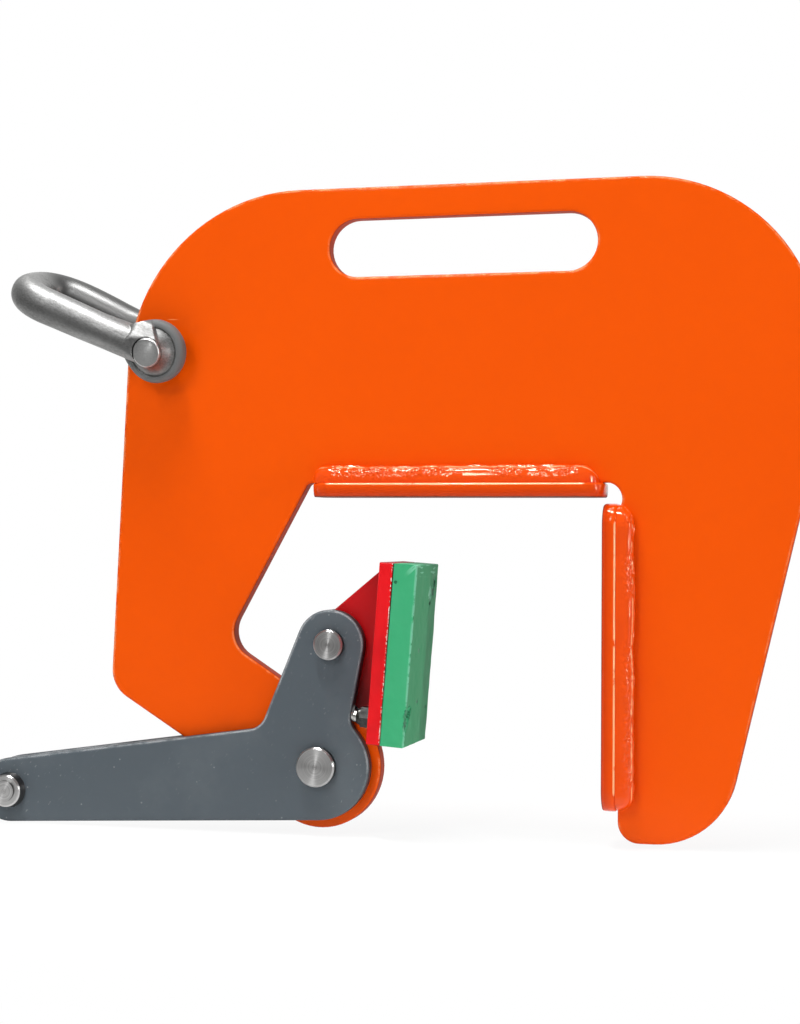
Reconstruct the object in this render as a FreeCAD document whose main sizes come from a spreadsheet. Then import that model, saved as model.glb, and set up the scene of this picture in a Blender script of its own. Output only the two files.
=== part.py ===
import FreeCAD, Part
import math
import os
import re
import Sketcher

# A lever clamp for lifting walls and rings. X runs from the lever's tail to the right leg, Y through the
# plate from front to back, Z up. The origin is the middle of the seat bar's underside.
# Lengths are in millimetres, angles in degrees.
sizes = {
    # Frame plate: corner points of its outline, measured from the origin, and the taper of its right leg
    "plate_thickness": 8.0,
    "frame_rise": 156.8,
    "left_top_reach": 174.4,
    "right_reach": 175.2,
    "shoulder_rise": 33.0,
    "foot_drop": 168.3,
    "leg_taper": 47.2,
    "throat_top_reach": 79.8,
    "throat_low_reach": 123.5,
    "throat_low_drop": 73.4,
    "left_low_reach": 186.4,
    "left_low_drop": 98.5,
    # Frame plate: radii of those corners, at the foot as shares of its width
    "top_left_radius": 93.0,
    "top_right_radius": 86.0,
    "shoulder_radius": 60.0,
    "relief_radius": 8.0,
    "relief_bite": 1.7,
    "relief_lift": 0.3,
    "relief_fill_share": 0.575,
    "throat_top_radius": 3.0,
    "throat_low_radius": 14.0,
    "left_low_radius": 16.5,
    "foot_outer_share": 0.81,
    "foot_inner_share": 0.21,
    # Frame plate: the arm to the nose, which is round about the main pin; the pin's lift is above the foot
    "pivot_left": 72.3,
    "pivot_lift": 32.7,
    "nose_radius": 31.5,
    "arm_slope": 32.0,
    "arm_inner_half": 24.6,
    "arm_outer_half": 28.5,
    "nose_blend_radius": 6.0,
    # Frame plate: hand slot, shackle hole, set in from the left side, and broken edges
    "slot_length": 137.0,
    "slot_height": 29.4,
    "handle_height": 15.9,
    "slot_left": 0.7,
    "shackle_inset": 20.146,
    "shackle_rise": 77.1,
    "shackle_hole_gap": 1.1,
    "plate_edge_round": 0.7,
    # Bars that touch the load, and their welds
    "seat_left_margin": 3.2,
    "seat_right_margin": 6.4,
    "seat_thickness": 7.0,
    "bar_depth": 30.0,
    "bar_corner_radius": 11.0,
    "bar_edge_share": 0.2,
    "contact_reach": 71.6,
    "contact_thickness": 7.0,
    "contact_top_drop": 3.0,
    "contact_foot_margin": 15.2,
    "weld_leg": 8.2,
    "weld_start_margin": 1.2,
    "weld_end_margin": 4.0,
    # Lever: two cheeks on the main pin, with the jaw pin and the chain pin measured from it
    "cheek_thickness": 6.0,
    "side_gap": 0.5,
    "jaw_pin_right": 6.3,
    "jaw_pin_rise": 61.4,
    "chain_pin_left": 168.4,
    "chain_pin_drop": 17.9,
    "cheek_nose_inset": 4.5,
    "cheek_top_radius": 17.5,
    "cheek_tail_radius": 16.5,
    "arm_front_offset": 12.3,
    "arm_back_offset": 34.9,
    "tail_top_offset": 22.7,
    "elbow_radius": 10.0,
    "waist_radius": 9.0,
    "cheek_edge_round": 0.7,
    # Pins, bushes, washers and retaining rings
    "running_gap": 0.08,
    "fixed_gap": 0.03,
    "main_pin_radius": 8.0,
    "main_head_rim": 2.0,
    "jaw_pin_radius": 6.0,
    "jaw_head_rim": 1.6,
    "head_height": 4.0,
    "head_chamfer": 0.8,
    "nose_bush_wall": 4.0,
    "jaw_bush_wall": 2.5,
    "washer_thickness": 2.0,
    "washer_rim": 5.0,
    "ring_thickness": 1.2,
    "ring_rim": 2.2,
    "ring_mouth": 5.0,
    "groove_depth": 0.6,
    "pin_tail": 3.0,
    "pin_tail_chamfer": 1.0,
    "chain_pin_radius": 6.0,
    "chain_head_rim": 3.2,
    "chain_head_height": 5.5,
    "chain_boss_step": 0.8,
    "chain_boss_height": 1.0,
    "spacer_wall": 2.5,
    # Jaw, in its own frame: across is square to the pad, up is along it, from the jaw pin
    "jaw_tilt": 4.2,
    "lug_radius": 13.0,
    "lug_top_up": 43.0,
    "lug_low_down": 40.0,
    "jaw_rest_gap": 0.15,
    "back_thickness": 7.0,
    "back_width": 46.0,
    "back_top_up": 43.9,
    "back_low_down": 46.3,
    "back_edge_round": 0.6,
    "pad_thickness": 12.4,
    "pad_edge_round": 0.8,
    "lug_weld_leg": 4.0,
    # Studs that hold the pad, and their self-locking nuts
    "screw_radius": 3.0,
    "screw_head_radius": 5.6,
    "screw_head_height": 3.0,
    "screw_tip": 2.8,
    "screw_down": 33.7,
    "screw_up": 31.0,
    "screw_side": 15.0,
    "nut_across_flats": 10.0,
    "nut_height": 5.0,
    "nut_collar_height": 2.2,
    "nut_collar_step": 0.7,
    "screw_hole_gap": 0.3,
    # Shackle, in its own frame: along runs from the pin to the bow
    "shackle_swing": 23.1,
    "shackle_rest_gap": 0.39,
    "rod_radius": 9.3,
    "neck_radius": 8.2,
    "neck_start": 3.0,
    "neck_blend_radius": 12.0,
    "bow_inside_width": 20.0,
    "bow_length": 91.5,
    "eye_radius": 16.3,
    "eye_thickness": 8.0,
    "eye_round": 1.2,
    "shackle_pin_radius": 7.4,
    "shackle_pin_chamfer": 0.5,
    "shackle_pin_end": 8.3,
    "shackle_collar_radius": 12.0,
    "shackle_collar_height": 4.0,
    "shackle_tab_thickness": 8.0,
    "shackle_tab_radius": 11.0,
    "shackle_tab_reach": 12.0,
    "shackle_tab_hole_radius": 4.5,
    # How far every cut runs past what it cuts
    "overrun": 2.0,
}

doc = FreeCAD.newDocument("lifting_clamp")
sheet = doc.addObject("Spreadsheet::Sheet", "Sizes")
for row, (name, number) in enumerate(sizes.items(), start=1):
    sheet.set(f"A{row}", name)
    sheet.set(f"B{row}", str(number))
    sheet.setAlias(f"B{row}", name)
doc.recompute()

nodes = []
front_face = "plate_thickness / 2"
pivot_x = "0 - pivot_left"
pivot_z = "pivot_lift - foot_drop"
jaw_x = "jaw_pin_right - pivot_left"
jaw_z = "jaw_pin_rise + pivot_lift - foot_drop"
chain_x = "0 - pivot_left - chain_pin_left"
chain_z = "pivot_lift - foot_drop - chain_pin_drop"
cheek_inner = "plate_thickness / 2 + side_gap"
cheek_outer = "plate_thickness / 2 + side_gap + cheek_thickness"
leg_inner = "contact_reach + contact_thickness"
seat_left = "seat_left_margin - throat_top_reach"
seat_right = f"{leg_inner} - seat_right_margin"
contact_low = "contact_foot_margin - foot_drop"
contact_high = "0 - contact_top_drop"
slot_rise = "frame_rise - handle_height - slot_height / 2"
left_lean = "(left_low_reach - left_top_reach) / (frame_rise + left_low_drop)"
shackle_x = f"shackle_inset - left_top_reach - {left_lean} * (frame_rise - shackle_rise)"
foot_x = "right_reach - leg_taper"
foot_width = f"({foot_x} - contact_reach - contact_thickness)"
shackle_hole = "shackle_pin_radius + shackle_hole_gap"
cheek_nose = "nose_radius - cheek_nose_inset"
chain_head = "chain_pin_radius + chain_head_rim"
# The lower edge of the jaw's backing plate rests against the nose, which is round about the main pin.
pivot_below_jaw = "jaw_pin_rise * cos(jaw_tilt) + jaw_pin_right * sin(jaw_tilt)"
pivot_across_jaw = "jaw_pin_rise * sin(jaw_tilt) - jaw_pin_right * cos(jaw_tilt)"
back = f"({pivot_across_jaw} + cath(nose_radius + jaw_rest_gap; {pivot_below_jaw} - back_low_down))"
# The shackle leans, its back leg up, as far as its pin can tip in the loose hole.
shackle_lean = "atan(2 * (shackle_rest_gap - shackle_hole_gap) / plate_thickness)"


def bound(formula):
    return re.sub("[a-z_]+", lambda word: f"Sizes.{word[0]}" if word[0] in sizes else word[0], formula)


def value(formula):
    return float(sheet.evalExpression(bound(formula)))


def tie(thing, field, formula):
    thing.setExpression(field, bound(formula))


def new_body(label):
    body = doc.addObject("PartDesign::Body", label)
    body.Label = label
    return body


def place(thing, x="0", y="0", z="0", turn=None, axis=(0, 1, 0)):
    if turn is not None:
        thing.Placement.Rotation = FreeCAD.Rotation(FreeCAD.Vector(*axis), 1)
        tie(thing, "Placement.Rotation.Angle", turn)
    tie(thing, "Placement.Base.x", x)
    tie(thing, "Placement.Base.y", y)
    tie(thing, "Placement.Base.z", z)


def keep(thing, label):
    thing.Label = label
    nodes.append(thing)
    return thing


# Sketches. An XZ sketch looks along +Y, and its offset counts towards the front.
def new_sketch(body, label, plane="XZ_Plane", forward="0"):
    sketch = body.newObject("Sketcher::SketchObject", label)
    support = next(item for item in body.Origin.OriginFeatures if item.Role == plane)
    sketch.AttachmentSupport = (support, [""])
    sketch.MapMode = "FlatFace"
    tie(sketch, "AttachmentOffset.Base.z", forward)
    return sketch


def spot(point):
    return FreeCAD.Vector(value(point[0]), value(point[1]), 0)


def limit(sketch, constraint, formula):
    index = sketch.addConstraint(constraint)
    tie(sketch, f"Constraints[{index}]", formula)


def pin_point(sketch, edge, end, point):
    limit(sketch, Sketcher.Constraint("DistanceX", -1, 1, edge, end, value(point[0])), point[0])
    limit(sketch, Sketcher.Constraint("DistanceY", -1, 1, edge, end, value(point[1])), point[1])


def set_radius(sketch, edge, formula):
    limit(sketch, Sketcher.Constraint("Radius", edge, value(formula)), formula)


def add_line(sketch, start, end):
    return sketch.addGeometry(Part.LineSegment(start, end), False)


# An arc runs anticlockwise from its first point to its second.
def add_arc(sketch, centre, start, end):
    first = math.atan2(start.y - centre.y, start.x - centre.x)
    last = math.atan2(end.y - centre.y, end.x - centre.x)
    if last < first:
        last += 2 * math.pi
    circle = Part.Circle(centre, FreeCAD.Vector(0, 0, 1), (start - centre).Length)
    return sketch.addGeometry(Part.ArcOfCircle(circle, first, last), False)


def add_circle(sketch, point, radius, guide=False):
    circle = Part.Circle(spot(point), FreeCAD.Vector(0, 0, 1), value(radius))
    edge = sketch.addGeometry(circle, guide)
    pin_point(sketch, edge, 3, point)
    set_radius(sketch, edge, radius)
    return edge


def add_polygon(sketch, corners):
    spots = [spot(corner) for corner in corners]
    first = sketch.GeometryCount
    count = len(spots)
    for i in range(count):
        add_line(sketch, spots[i], spots[(i + 1) % count])
    for i, corner in enumerate(corners):
        sketch.addConstraint(Sketcher.Constraint("Coincident", first + i, 2, first + (i + 1) % count, 1))
        pin_point(sketch, first + i, 1, corner)


# The line that has two circles on its left, from its touching point on one to that on the other.
def common_tangent(centre_a, radius_a, centre_b, radius_b):
    across = centre_b - centre_a
    heading = math.atan2(across.y, across.x) - math.asin((radius_b - radius_a) / across.Length)
    left = FreeCAD.Vector(-math.sin(heading), math.cos(heading), 0)
    return centre_a - left * radius_a, centre_b - left * radius_b


def joined(sketch, first, second):
    sketch.addConstraint(Sketcher.Constraint("Coincident", first, 2, second, 1))


def flowing(sketch, first, second):
    sketch.addConstraint(Sketcher.Constraint("Tangent", first, 2, second, 1))


# Features
def pad(body, sketch, length, symmetric=False):
    feature = body.newObject("PartDesign::Pad", f"{sketch.Label}_pad")
    feature.Profile = sketch
    tie(feature, "Length", length)
    feature.SideType = "Symmetric" if symmetric else "One side"
    doc.recompute()
    return feature


def cut_through(body, sketch, thickness):
    feature = body.newObject("PartDesign::Pocket", f"{sketch.Label}_cut")
    feature.Profile = sketch
    tie(feature, "Length", f"2 * ({thickness}) + 2 * overrun")
    feature.SideType = "Symmetric"
    doc.recompute()
    return feature


def round_edges(body, edge_names, radius):
    base = body.Tip
    feature = body.newObject("PartDesign::Fillet", f"{body.Name}_round_{len(body.Group)}")
    feature.Base = (base, edge_names)
    tie(feature, "Radius", radius)
    body.Tip = feature
    doc.recompute()
    return feature


def edges_where(body, test):
    return [f"Edge{i}" for i, edge in enumerate(body.Tip.Shape.Edges, start=1) if test(edge)]


def near(first, second):
    return abs(first - second) < value("overrun") / 1000


# Edges that run through a plate at one corner of its outline.
def edges_at(body, corner):
    x, z = spot(corner).x, spot(corner).y
    return edges_where(body, lambda edge: all(near(v.X, x) and near(v.Z, z) for v in edge.Vertexes))


# Edges that bound a plate's two faces, at distances low and high along Y.
def face_edges(body, low, high):
    def on_face(edge):
        ys = [v.Y for v in edge.Vertexes]
        level = [near(y, low) for y in ys], [near(y, high) for y in ys]
        return all(level[0]) or all(level[1])
    return edges_where(body, on_face)


# Edges through a plate where straight sides run into a round end.
def edges_across(body, point, radius):
    centre = spot(point)

    def on_round(edge):
        reaches = [math.hypot(v.X - centre.x, v.Z - centre.y) for v in edge.Vertexes]
        level = [near(v.Y, edge.Vertexes[0].Y) for v in edge.Vertexes]
        return all(near(reach, value(radius)) for reach in reaches) and not all(level)
    return edges_where(body, on_round)


# A piece turned about Y: its half outline is (radius, distance along Y) points.
def turned(label, outline):
    body = new_body(label)
    sketch = new_sketch(body, f"{label}_half", "XY_Plane")
    add_polygon(sketch, outline)
    turning = body.newObject("PartDesign::Revolution", f"{label}_turning")
    turning.Profile = sketch
    turning.ReferenceAxis = (sketch, ["V_Axis"])
    doc.recompute()
    return body


def tube(label, inner, outer, low, high):
    return turned(label, [(inner, low), (outer, low), (outer, high), (inner, high)])


# Frame plate
def frame_plate():
    body = new_body("frame_plate")
    across, up = "sin(arm_slope)", "cos(arm_slope)"
    inner_foot = (f"{pivot_x} + arm_inner_half * {across}", f"{pivot_z} + arm_inner_half * {up}")
    outer_foot = (f"{pivot_x} - arm_outer_half * {across}", f"{pivot_z} - arm_outer_half * {up}")
    corners = [
        (("0 - left_top_reach", "frame_rise"), "top_left_radius"),
        (("0 - left_low_reach", "0 - left_low_drop"), "left_low_radius"),
        (outer_foot, None),
        (inner_foot, None),
        (("0 - throat_low_reach", "0 - throat_low_drop"), "throat_low_radius"),
        (("0 - throat_top_reach", "seat_thickness"), "throat_top_radius"),
        ((f"{leg_inner} - relief_fill_share * relief_radius", "seat_thickness"), None),
        ((leg_inner, "seat_thickness - relief_fill_share * relief_radius"), None),
        ((leg_inner, "0 - foot_drop"), f"foot_inner_share * {foot_width}"),
        ((foot_x, "0 - foot_drop"), f"foot_outer_share * {foot_width}"),
        (("right_reach", "shoulder_rise"), "shoulder_radius"),
        (("right_reach", "frame_rise"), "top_right_radius"),
    ]
    outline = new_sketch(body, "frame_outline")
    add_polygon(outline, [corner for corner, radius in corners])
    pad(body, outline, "plate_thickness", symmetric=True)
    for corner, radius in corners:
        if radius:
            round_edges(body, edges_at(body, corner), radius)

    nose = new_sketch(body, "frame_nose")
    add_circle(nose, (pivot_x, pivot_z), "nose_radius")
    pad(body, nose, "plate_thickness", symmetric=True)
    blends = edges_across(body, (pivot_x, pivot_z), "nose_radius")
    round_edges(body, blends, "nose_blend_radius")
    half = value(front_face)
    round_edges(body, face_edges(body, -half, half), "plate_edge_round")

    slot = new_sketch(body, "hand_slot")
    add_slot(slot)
    cut_through(body, slot, "plate_thickness")
    holes = new_sketch(body, "frame_holes")
    relief = (f"{leg_inner} + relief_bite - relief_radius", "seat_thickness + relief_lift - relief_radius")
    add_circle(holes, relief, "relief_radius")
    add_circle(holes, (shackle_x, "shackle_rise"), shackle_hole)
    add_circle(holes, (pivot_x, pivot_z), "main_pin_radius + running_gap + nose_bush_wall + fixed_gap")
    cut_through(body, holes, "plate_thickness")
    round_edges(body, rim_edges(body, half), "plate_edge_round")
    keep(body, "frame_plate")


# Edges of the plate's faces round the hand slot and the two pin holes.
def rim_edges(body, half):
    low, high = value(f"{slot_rise} - slot_height / 2"), value(f"{slot_rise} + slot_height / 2")
    faces = set(face_edges(body, -half, half))
    rims = edges_where(body, lambda edge: edge.isClosed() or all(near(v.Z, low) or near(v.Z, high)
                                                                 for v in edge.Vertexes))
    return [name for name in rims if name in faces]


def add_slot(sketch):
    half_run = "(slot_length - slot_height) / 2"
    left = (f"0 - slot_left - {half_run}", slot_rise)
    right = (f"{half_run} - slot_left", slot_rise)
    up = FreeCAD.Vector(0, value("slot_height / 2"), 0)
    bottom = add_line(sketch, spot(left) - up, spot(right) - up)
    right_end = add_arc(sketch, spot(right), spot(right) - up, spot(right) + up)
    top = add_line(sketch, spot(right) + up, spot(left) + up)
    left_end = add_arc(sketch, spot(left), spot(left) + up, spot(left) - up)
    for first, second in ((bottom, right_end), (right_end, top), (top, left_end), (left_end, bottom)):
        flowing(sketch, first, second)
    pin_point(sketch, right_end, 3, right)
    pin_point(sketch, left_end, 3, left)
    set_radius(sketch, right_end, "slot_height / 2")


# The bars are flats with round corners and soft edges, set on the plate's edge across its thickness.
def bar(label, low_x, high_x, low_z, high_z, thickness):
    body = new_body(label)
    sketch = new_sketch(body, f"{label}_side")
    add_polygon(sketch, [(low_x, low_z), (high_x, low_z), (high_x, high_z), (low_x, high_z)])
    pad(body, sketch, "bar_depth", symmetric=True)
    deep = value(thickness)
    soft = f"{thickness} * bar_edge_share"
    round_edges(body, edges_where(body, lambda edge: near(edge.Length, deep)), "bar_corner_radius")
    round_edges(body, edges_where(body, lambda edge: not near(edge.Length, deep)), soft)
    keep(body, label)


# A quarter round in the corner between two flat faces, anticlockwise from its start to its end.
def add_bead(sketch, corner, start, end, radius):
    first = add_line(sketch, spot(corner), spot(start))
    curve = add_arc(sketch, spot(corner), spot(start), spot(end))
    last = add_line(sketch, spot(end), spot(corner))
    for edge, following in ((first, curve), (curve, last), (last, first)):
        joined(sketch, edge, following)
    pin_point(sketch, first, 1, corner)
    pin_point(sketch, first, 2, start)
    pin_point(sketch, last, 1, end)
    set_radius(sketch, curve, radius)


# Welds in the corners between a bar and the plate's two faces.
def seat_weld(label, side):
    body = new_body(label)
    sketch = new_sketch(body, f"{label}_section", "YZ_Plane", f"{seat_left} + weld_start_margin")
    face = f"{side} * plate_thickness / 2"
    toe = (f"{side} * (plate_thickness / 2 + weld_leg)", "seat_thickness")
    top = (face, "seat_thickness + weld_leg")
    ends = (toe, top) if side > 0 else (top, toe)
    add_bead(sketch, (face, "seat_thickness"), *ends, "weld_leg")
    pad(body, sketch, f"{seat_right} - ({seat_left}) - weld_start_margin - weld_end_margin")
    keep(body, label)


def contact_weld(label, side):
    body = new_body(label)
    sketch = new_sketch(body, f"{label}_section", "XY_Plane", f"{contact_low} + weld_start_margin")
    face = f"{side} * plate_thickness / 2"
    toe = (leg_inner, f"{side} * (plate_thickness / 2 + weld_leg)")
    end = (f"{leg_inner} + weld_leg", face)
    ends = (end, toe) if side > 0 else (toe, end)
    add_bead(sketch, (leg_inner, face), *ends, "weld_leg")
    pad(body, sketch, f"{contact_high} - ({contact_low}) - 2 * weld_start_margin")
    keep(body, label)


# Lever cheeks: the outline goes round three bosses, and its straight sides touch circles about the main pin.
def cheek(label, forward):
    body = new_body(label)
    outline = new_sketch(body, f"{label}_outline", forward=forward)
    main = FreeCAD.Vector(0, 0, 0)
    jaw_pin = ("jaw_pin_right", "jaw_pin_rise")
    chain_pin = ("0 - chain_pin_left", "0 - chain_pin_drop")
    top, tail = spot(jaw_pin), spot(chain_pin)
    nose_r, top_r, tail_r = value(cheek_nose), value("cheek_top_radius"), value("cheek_tail_radius")
    under = common_tangent(tail, tail_r, main, nose_r)
    front = common_tangent(main, value("arm_front_offset"), top, top_r)
    back = common_tangent(top, top_r, main, value("arm_back_offset"))
    upper = common_tangent(main, value("tail_top_offset"), tail, tail_r)
    waist = where_line_meets_circle(front, nose_r)
    elbow = where_lines_meet(back, upper)

    under_edge = add_line(outline, *under)
    nose = add_arc(outline, main, under[1], waist)
    front_edge = add_line(outline, waist, front[1])
    crown = add_arc(outline, top, front[1], back[0])
    back_edge = add_line(outline, back[0], elbow)
    upper_edge = add_line(outline, elbow, upper[1])
    tail_end = add_arc(outline, tail, upper[1], under[0])
    for first, second in ((under_edge, nose), (front_edge, crown), (crown, back_edge),
                          (upper_edge, tail_end), (tail_end, under_edge)):
        flowing(outline, first, second)
    joined(outline, nose, front_edge)
    joined(outline, back_edge, upper_edge)
    pin_point(outline, nose, 3, ("0", "0"))
    pin_point(outline, crown, 3, jaw_pin)
    pin_point(outline, tail_end, 3, chain_pin)
    set_radius(outline, nose, cheek_nose)
    set_radius(outline, crown, "cheek_top_radius")
    set_radius(outline, tail_end, "cheek_tail_radius")
    for side, offset in ((front_edge, "arm_front_offset"), (back_edge, "arm_back_offset"),
                         (upper_edge, "tail_top_offset")):
        guide = add_circle(outline, ("0", "0"), offset, guide=True)
        outline.addConstraint(Sketcher.Constraint("Tangent", side, guide))
    pad(body, outline, "cheek_thickness")
    for corner, radius in ((waist, "waist_radius"), (elbow, "elbow_radius")):
        found = edges_where(body, lambda edge: all(near(v.X, corner.x) and near(v.Z, corner.y)
                                                   for v in edge.Vertexes))
        round_edges(body, found, radius)

    holes = new_sketch(body, f"{label}_holes", forward=forward)
    add_circle(holes, ("0", "0"), "main_pin_radius + fixed_gap")
    add_circle(holes, jaw_pin, "jaw_pin_radius + fixed_gap")
    add_circle(holes, chain_pin, "chain_pin_radius + fixed_gap")
    cut_through(body, holes, "cheek_thickness")
    box = body.Tip.Shape.BoundBox
    round_edges(body, face_edges(body, box.YMin, box.YMax), "cheek_edge_round")
    place(body, pivot_x, "0", pivot_z)
    keep(body, label)


def where_line_meets_circle(line, radius):
    along = line[1] - line[0]
    along.normalize()
    foot = line[0] - along * line[0].dot(along)
    return foot + along * math.sqrt(radius ** 2 - foot.Length ** 2)


def where_lines_meet(first, second):
    along_a = first[1] - first[0]
    along_b = second[1] - second[0]
    apart = second[0] - first[0]
    turn = along_a.cross(along_b).z
    return first[0] + along_a * (apart.cross(along_b).z / turn)


# A headed pin through both cheeks, grooved at the back for a retaining ring.
def headed_pin(label, radius, head_rim, x, z):
    head = f"{radius} + {head_rim}"
    ring_at = f"{cheek_outer} + washer_thickness"
    tail = f"{ring_at} + ring_thickness + pin_tail"
    groove = f"{radius} - groove_depth"
    body = turned(label, [
        ("0", f"0 - ({cheek_outer}) - head_height"),
        (f"{head} - head_chamfer", f"0 - ({cheek_outer}) - head_height"),
        (head, f"0 - ({cheek_outer}) - head_height + head_chamfer"),
        (head, f"0 - ({cheek_outer})"),
        (radius, f"0 - ({cheek_outer})"),
        (radius, ring_at),
        (groove, ring_at),
        (groove, f"{ring_at} + ring_thickness"),
        (radius, f"{ring_at} + ring_thickness"),
        (radius, f"{tail} - pin_tail_chamfer"),
        (f"{radius} - pin_tail_chamfer", tail),
        ("0", tail),
    ])
    place(body, x, "0", z)
    keep(body, label)


def pin_washer(label, radius, x, z):
    outer = f"{radius} + washer_rim"
    body = tube(label, f"{radius} + fixed_gap", outer, cheek_outer, f"{cheek_outer} + washer_thickness")
    place(body, x, "0", z)
    keep(body, label)


# A retaining ring sits in the pin's groove, open at its mouth.
def retaining_ring(label, radius, x, z):
    start = f"{cheek_outer} + washer_thickness"
    ring = tube(f"{label}_round", f"{radius} - groove_depth", f"{radius} + ring_rim", start,
                f"{start} + ring_thickness")
    mouth = doc.addObject("Part::Box", f"{label}_mouth")
    tie(mouth, "Length", "ring_mouth")
    tie(mouth, "Width", "ring_thickness + 2 * overrun")
    tie(mouth, "Height", f"{radius} + ring_rim + overrun")
    place(mouth, "0 - ring_mouth / 2", f"{start} - overrun", "0")
    opened = doc.addObject("Part::Cut", label)
    opened.Base = ring
    opened.Tool = mouth
    place(opened, x, "0", z)
    keep(opened, label)


# The chain pin's head is stepped, and a spacer tube holds the cheeks apart round it.
def chain_pin(x, z):
    ring_at = f"{cheek_outer} + washer_thickness"
    tail = f"{ring_at} + ring_thickness + pin_tail"
    groove = "chain_pin_radius - groove_depth"
    head_at = f"0 - ({cheek_outer}) - chain_head_height"
    body = turned("chain_pin", [
        ("0", f"{head_at} - chain_boss_height"),
        ("chain_pin_radius - chain_boss_step", f"{head_at} - chain_boss_height"),
        ("chain_pin_radius - chain_boss_step", head_at),
        (f"{chain_head} - 2 * head_chamfer", head_at),
        (f"{chain_head} - head_chamfer", f"{head_at} + head_chamfer"),
        (chain_head, f"0 - ({cheek_outer})"),
        ("chain_pin_radius", f"0 - ({cheek_outer})"),
        ("chain_pin_radius", ring_at),
        (groove, ring_at),
        (groove, f"{ring_at} + ring_thickness"),
        ("chain_pin_radius", f"{ring_at} + ring_thickness"),
        ("chain_pin_radius", f"{tail} - pin_tail_chamfer"),
        ("chain_pin_radius - pin_tail_chamfer", tail),
        ("0", tail),
    ])
    place(body, x, "0", z)
    keep(body, "chain_pin")
    bore = "chain_pin_radius + fixed_gap"
    spacer = tube("chain_spacer", bore, f"{bore} + spacer_wall", f"0 - ({cheek_inner})", cheek_inner)
    place(spacer, x, "0", z)
    keep(spacer, "chain_spacer")


# Jaw pieces are drawn about the jaw pin with the pad upright, then tilted to lie against the nose.
def place_on_jaw(thing):
    place(thing, jaw_x, "0", jaw_z, turn="jaw_tilt")


def jaw_lug():
    body = new_body("jaw_lug")
    outline = new_sketch(body, "lug_outline")
    low, high = (back, "0 - lug_low_down"), (back, "lug_top_up")
    centre = FreeCAD.Vector(0, 0, 0)
    radius = value("lug_radius")
    upper = common_tangent(spot(high), 0, centre, radius)
    lower = common_tangent(centre, radius, spot(low), 0)
    foot = add_line(outline, spot(low), spot(high))
    upper_edge = add_line(outline, *upper)
    eye = add_arc(outline, centre, upper[1], lower[0])
    lower_edge = add_line(outline, *lower)
    joined(outline, foot, upper_edge)
    flowing(outline, upper_edge, eye)
    flowing(outline, eye, lower_edge)
    joined(outline, lower_edge, foot)
    pin_point(outline, foot, 1, low)
    pin_point(outline, foot, 2, high)
    pin_point(outline, eye, 3, ("0", "0"))
    set_radius(outline, eye, "lug_radius")
    pad(body, outline, "plate_thickness", symmetric=True)
    bore = new_sketch(body, "lug_bore")
    add_circle(bore, ("0", "0"), "jaw_pin_radius + running_gap + jaw_bush_wall + fixed_gap")
    cut_through(body, bore, "plate_thickness")
    place_on_jaw(body)
    keep(body, "jaw_lug")


screw_places = [("0 - screw_side", "0 - screw_down"), ("screw_side", "screw_up")]
pad_back = f"{back} + back_thickness"
pad_face = f"{pad_back} + pad_thickness"


# A slab of the jaw, from one distance across to another, with a hole for each stud in its near side.
def jaw_slab(label, low_across, high_across, edge_round, hole_radius, hole_depth):
    body = new_body(label)
    side = new_sketch(body, f"{label}_side")
    low, high = "0 - back_low_down", "back_top_up"
    add_polygon(side, [(low_across, low), (high_across, low), (high_across, high), (low_across, high)])
    pad(body, side, "back_width", symmetric=True)
    round_edges(body, edges_where(body, lambda edge: True), edge_round)
    holes = new_sketch(body, f"{label}_holes", "YZ_Plane", low_across)
    for point in screw_places:
        add_circle(holes, point, hole_radius)
    cut_through(body, holes, f"{hole_depth} - overrun")
    place_on_jaw(body)
    keep(body, label)


def lug_welds():
    pieces = []
    for side in (-1, 1):
        body = new_body(f"lug_weld_{len(pieces)}")
        section = new_sketch(body, f"{body.Name}_section", "XY_Plane", "0 - lug_low_down")
        face = f"{side} * plate_thickness / 2"
        toe = (back, f"{side} * (plate_thickness / 2 + lug_weld_leg)")
        end = (f"{back} - lug_weld_leg", face)
        ends = (toe, end) if side > 0 else (end, toe)
        add_bead(section, (back, face), *ends, "lug_weld_leg")
        pad(body, section, "lug_low_down + lug_top_up - lug_weld_leg")
        place_on_jaw(body)
        pieces.append(body)
    group(pieces, "jaw_lug_welds")


def group(pieces, label):
    together = doc.addObject("Part::Compound", label)
    together.Links = pieces
    keep(together, label)


# Headed studs, moulded into the pad's back, run through the backing plate into self-locking nuts.
def pad_fasteners():
    screws, nuts = [], []
    for place_y, place_z in screw_places:
        head_end = f"{pad_back} + screw_head_height"
        tip = f"{back} - nut_height - nut_collar_height - screw_tip"
        screw = turned(f"pad_screw_{len(screws)}", [
            ("0", tip),
            ("screw_radius - screw_tip / 4", tip),
            ("screw_radius", f"{tip} + screw_tip / 2"),
            ("screw_radius", pad_back),
            ("screw_head_radius", pad_back),
            ("screw_head_radius", head_end),
            ("0", head_end),
        ])
        nut = locking_nut(f"pad_nut_{len(nuts)}")
        for piece, pieces in ((screw, screws), (nut, nuts)):
            laid = doc.addObject("Part::Compound", f"{piece.Name}_laid")
            laid.Links = [piece]
            place(piece, "0", place_y, place_z, turn="0 - 90", axis=(0, 0, 1))
            place_on_jaw(laid)
            pieces.append(laid)
    group(screws, "pad_screws")
    group(nuts, "pad_nuts")


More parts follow.
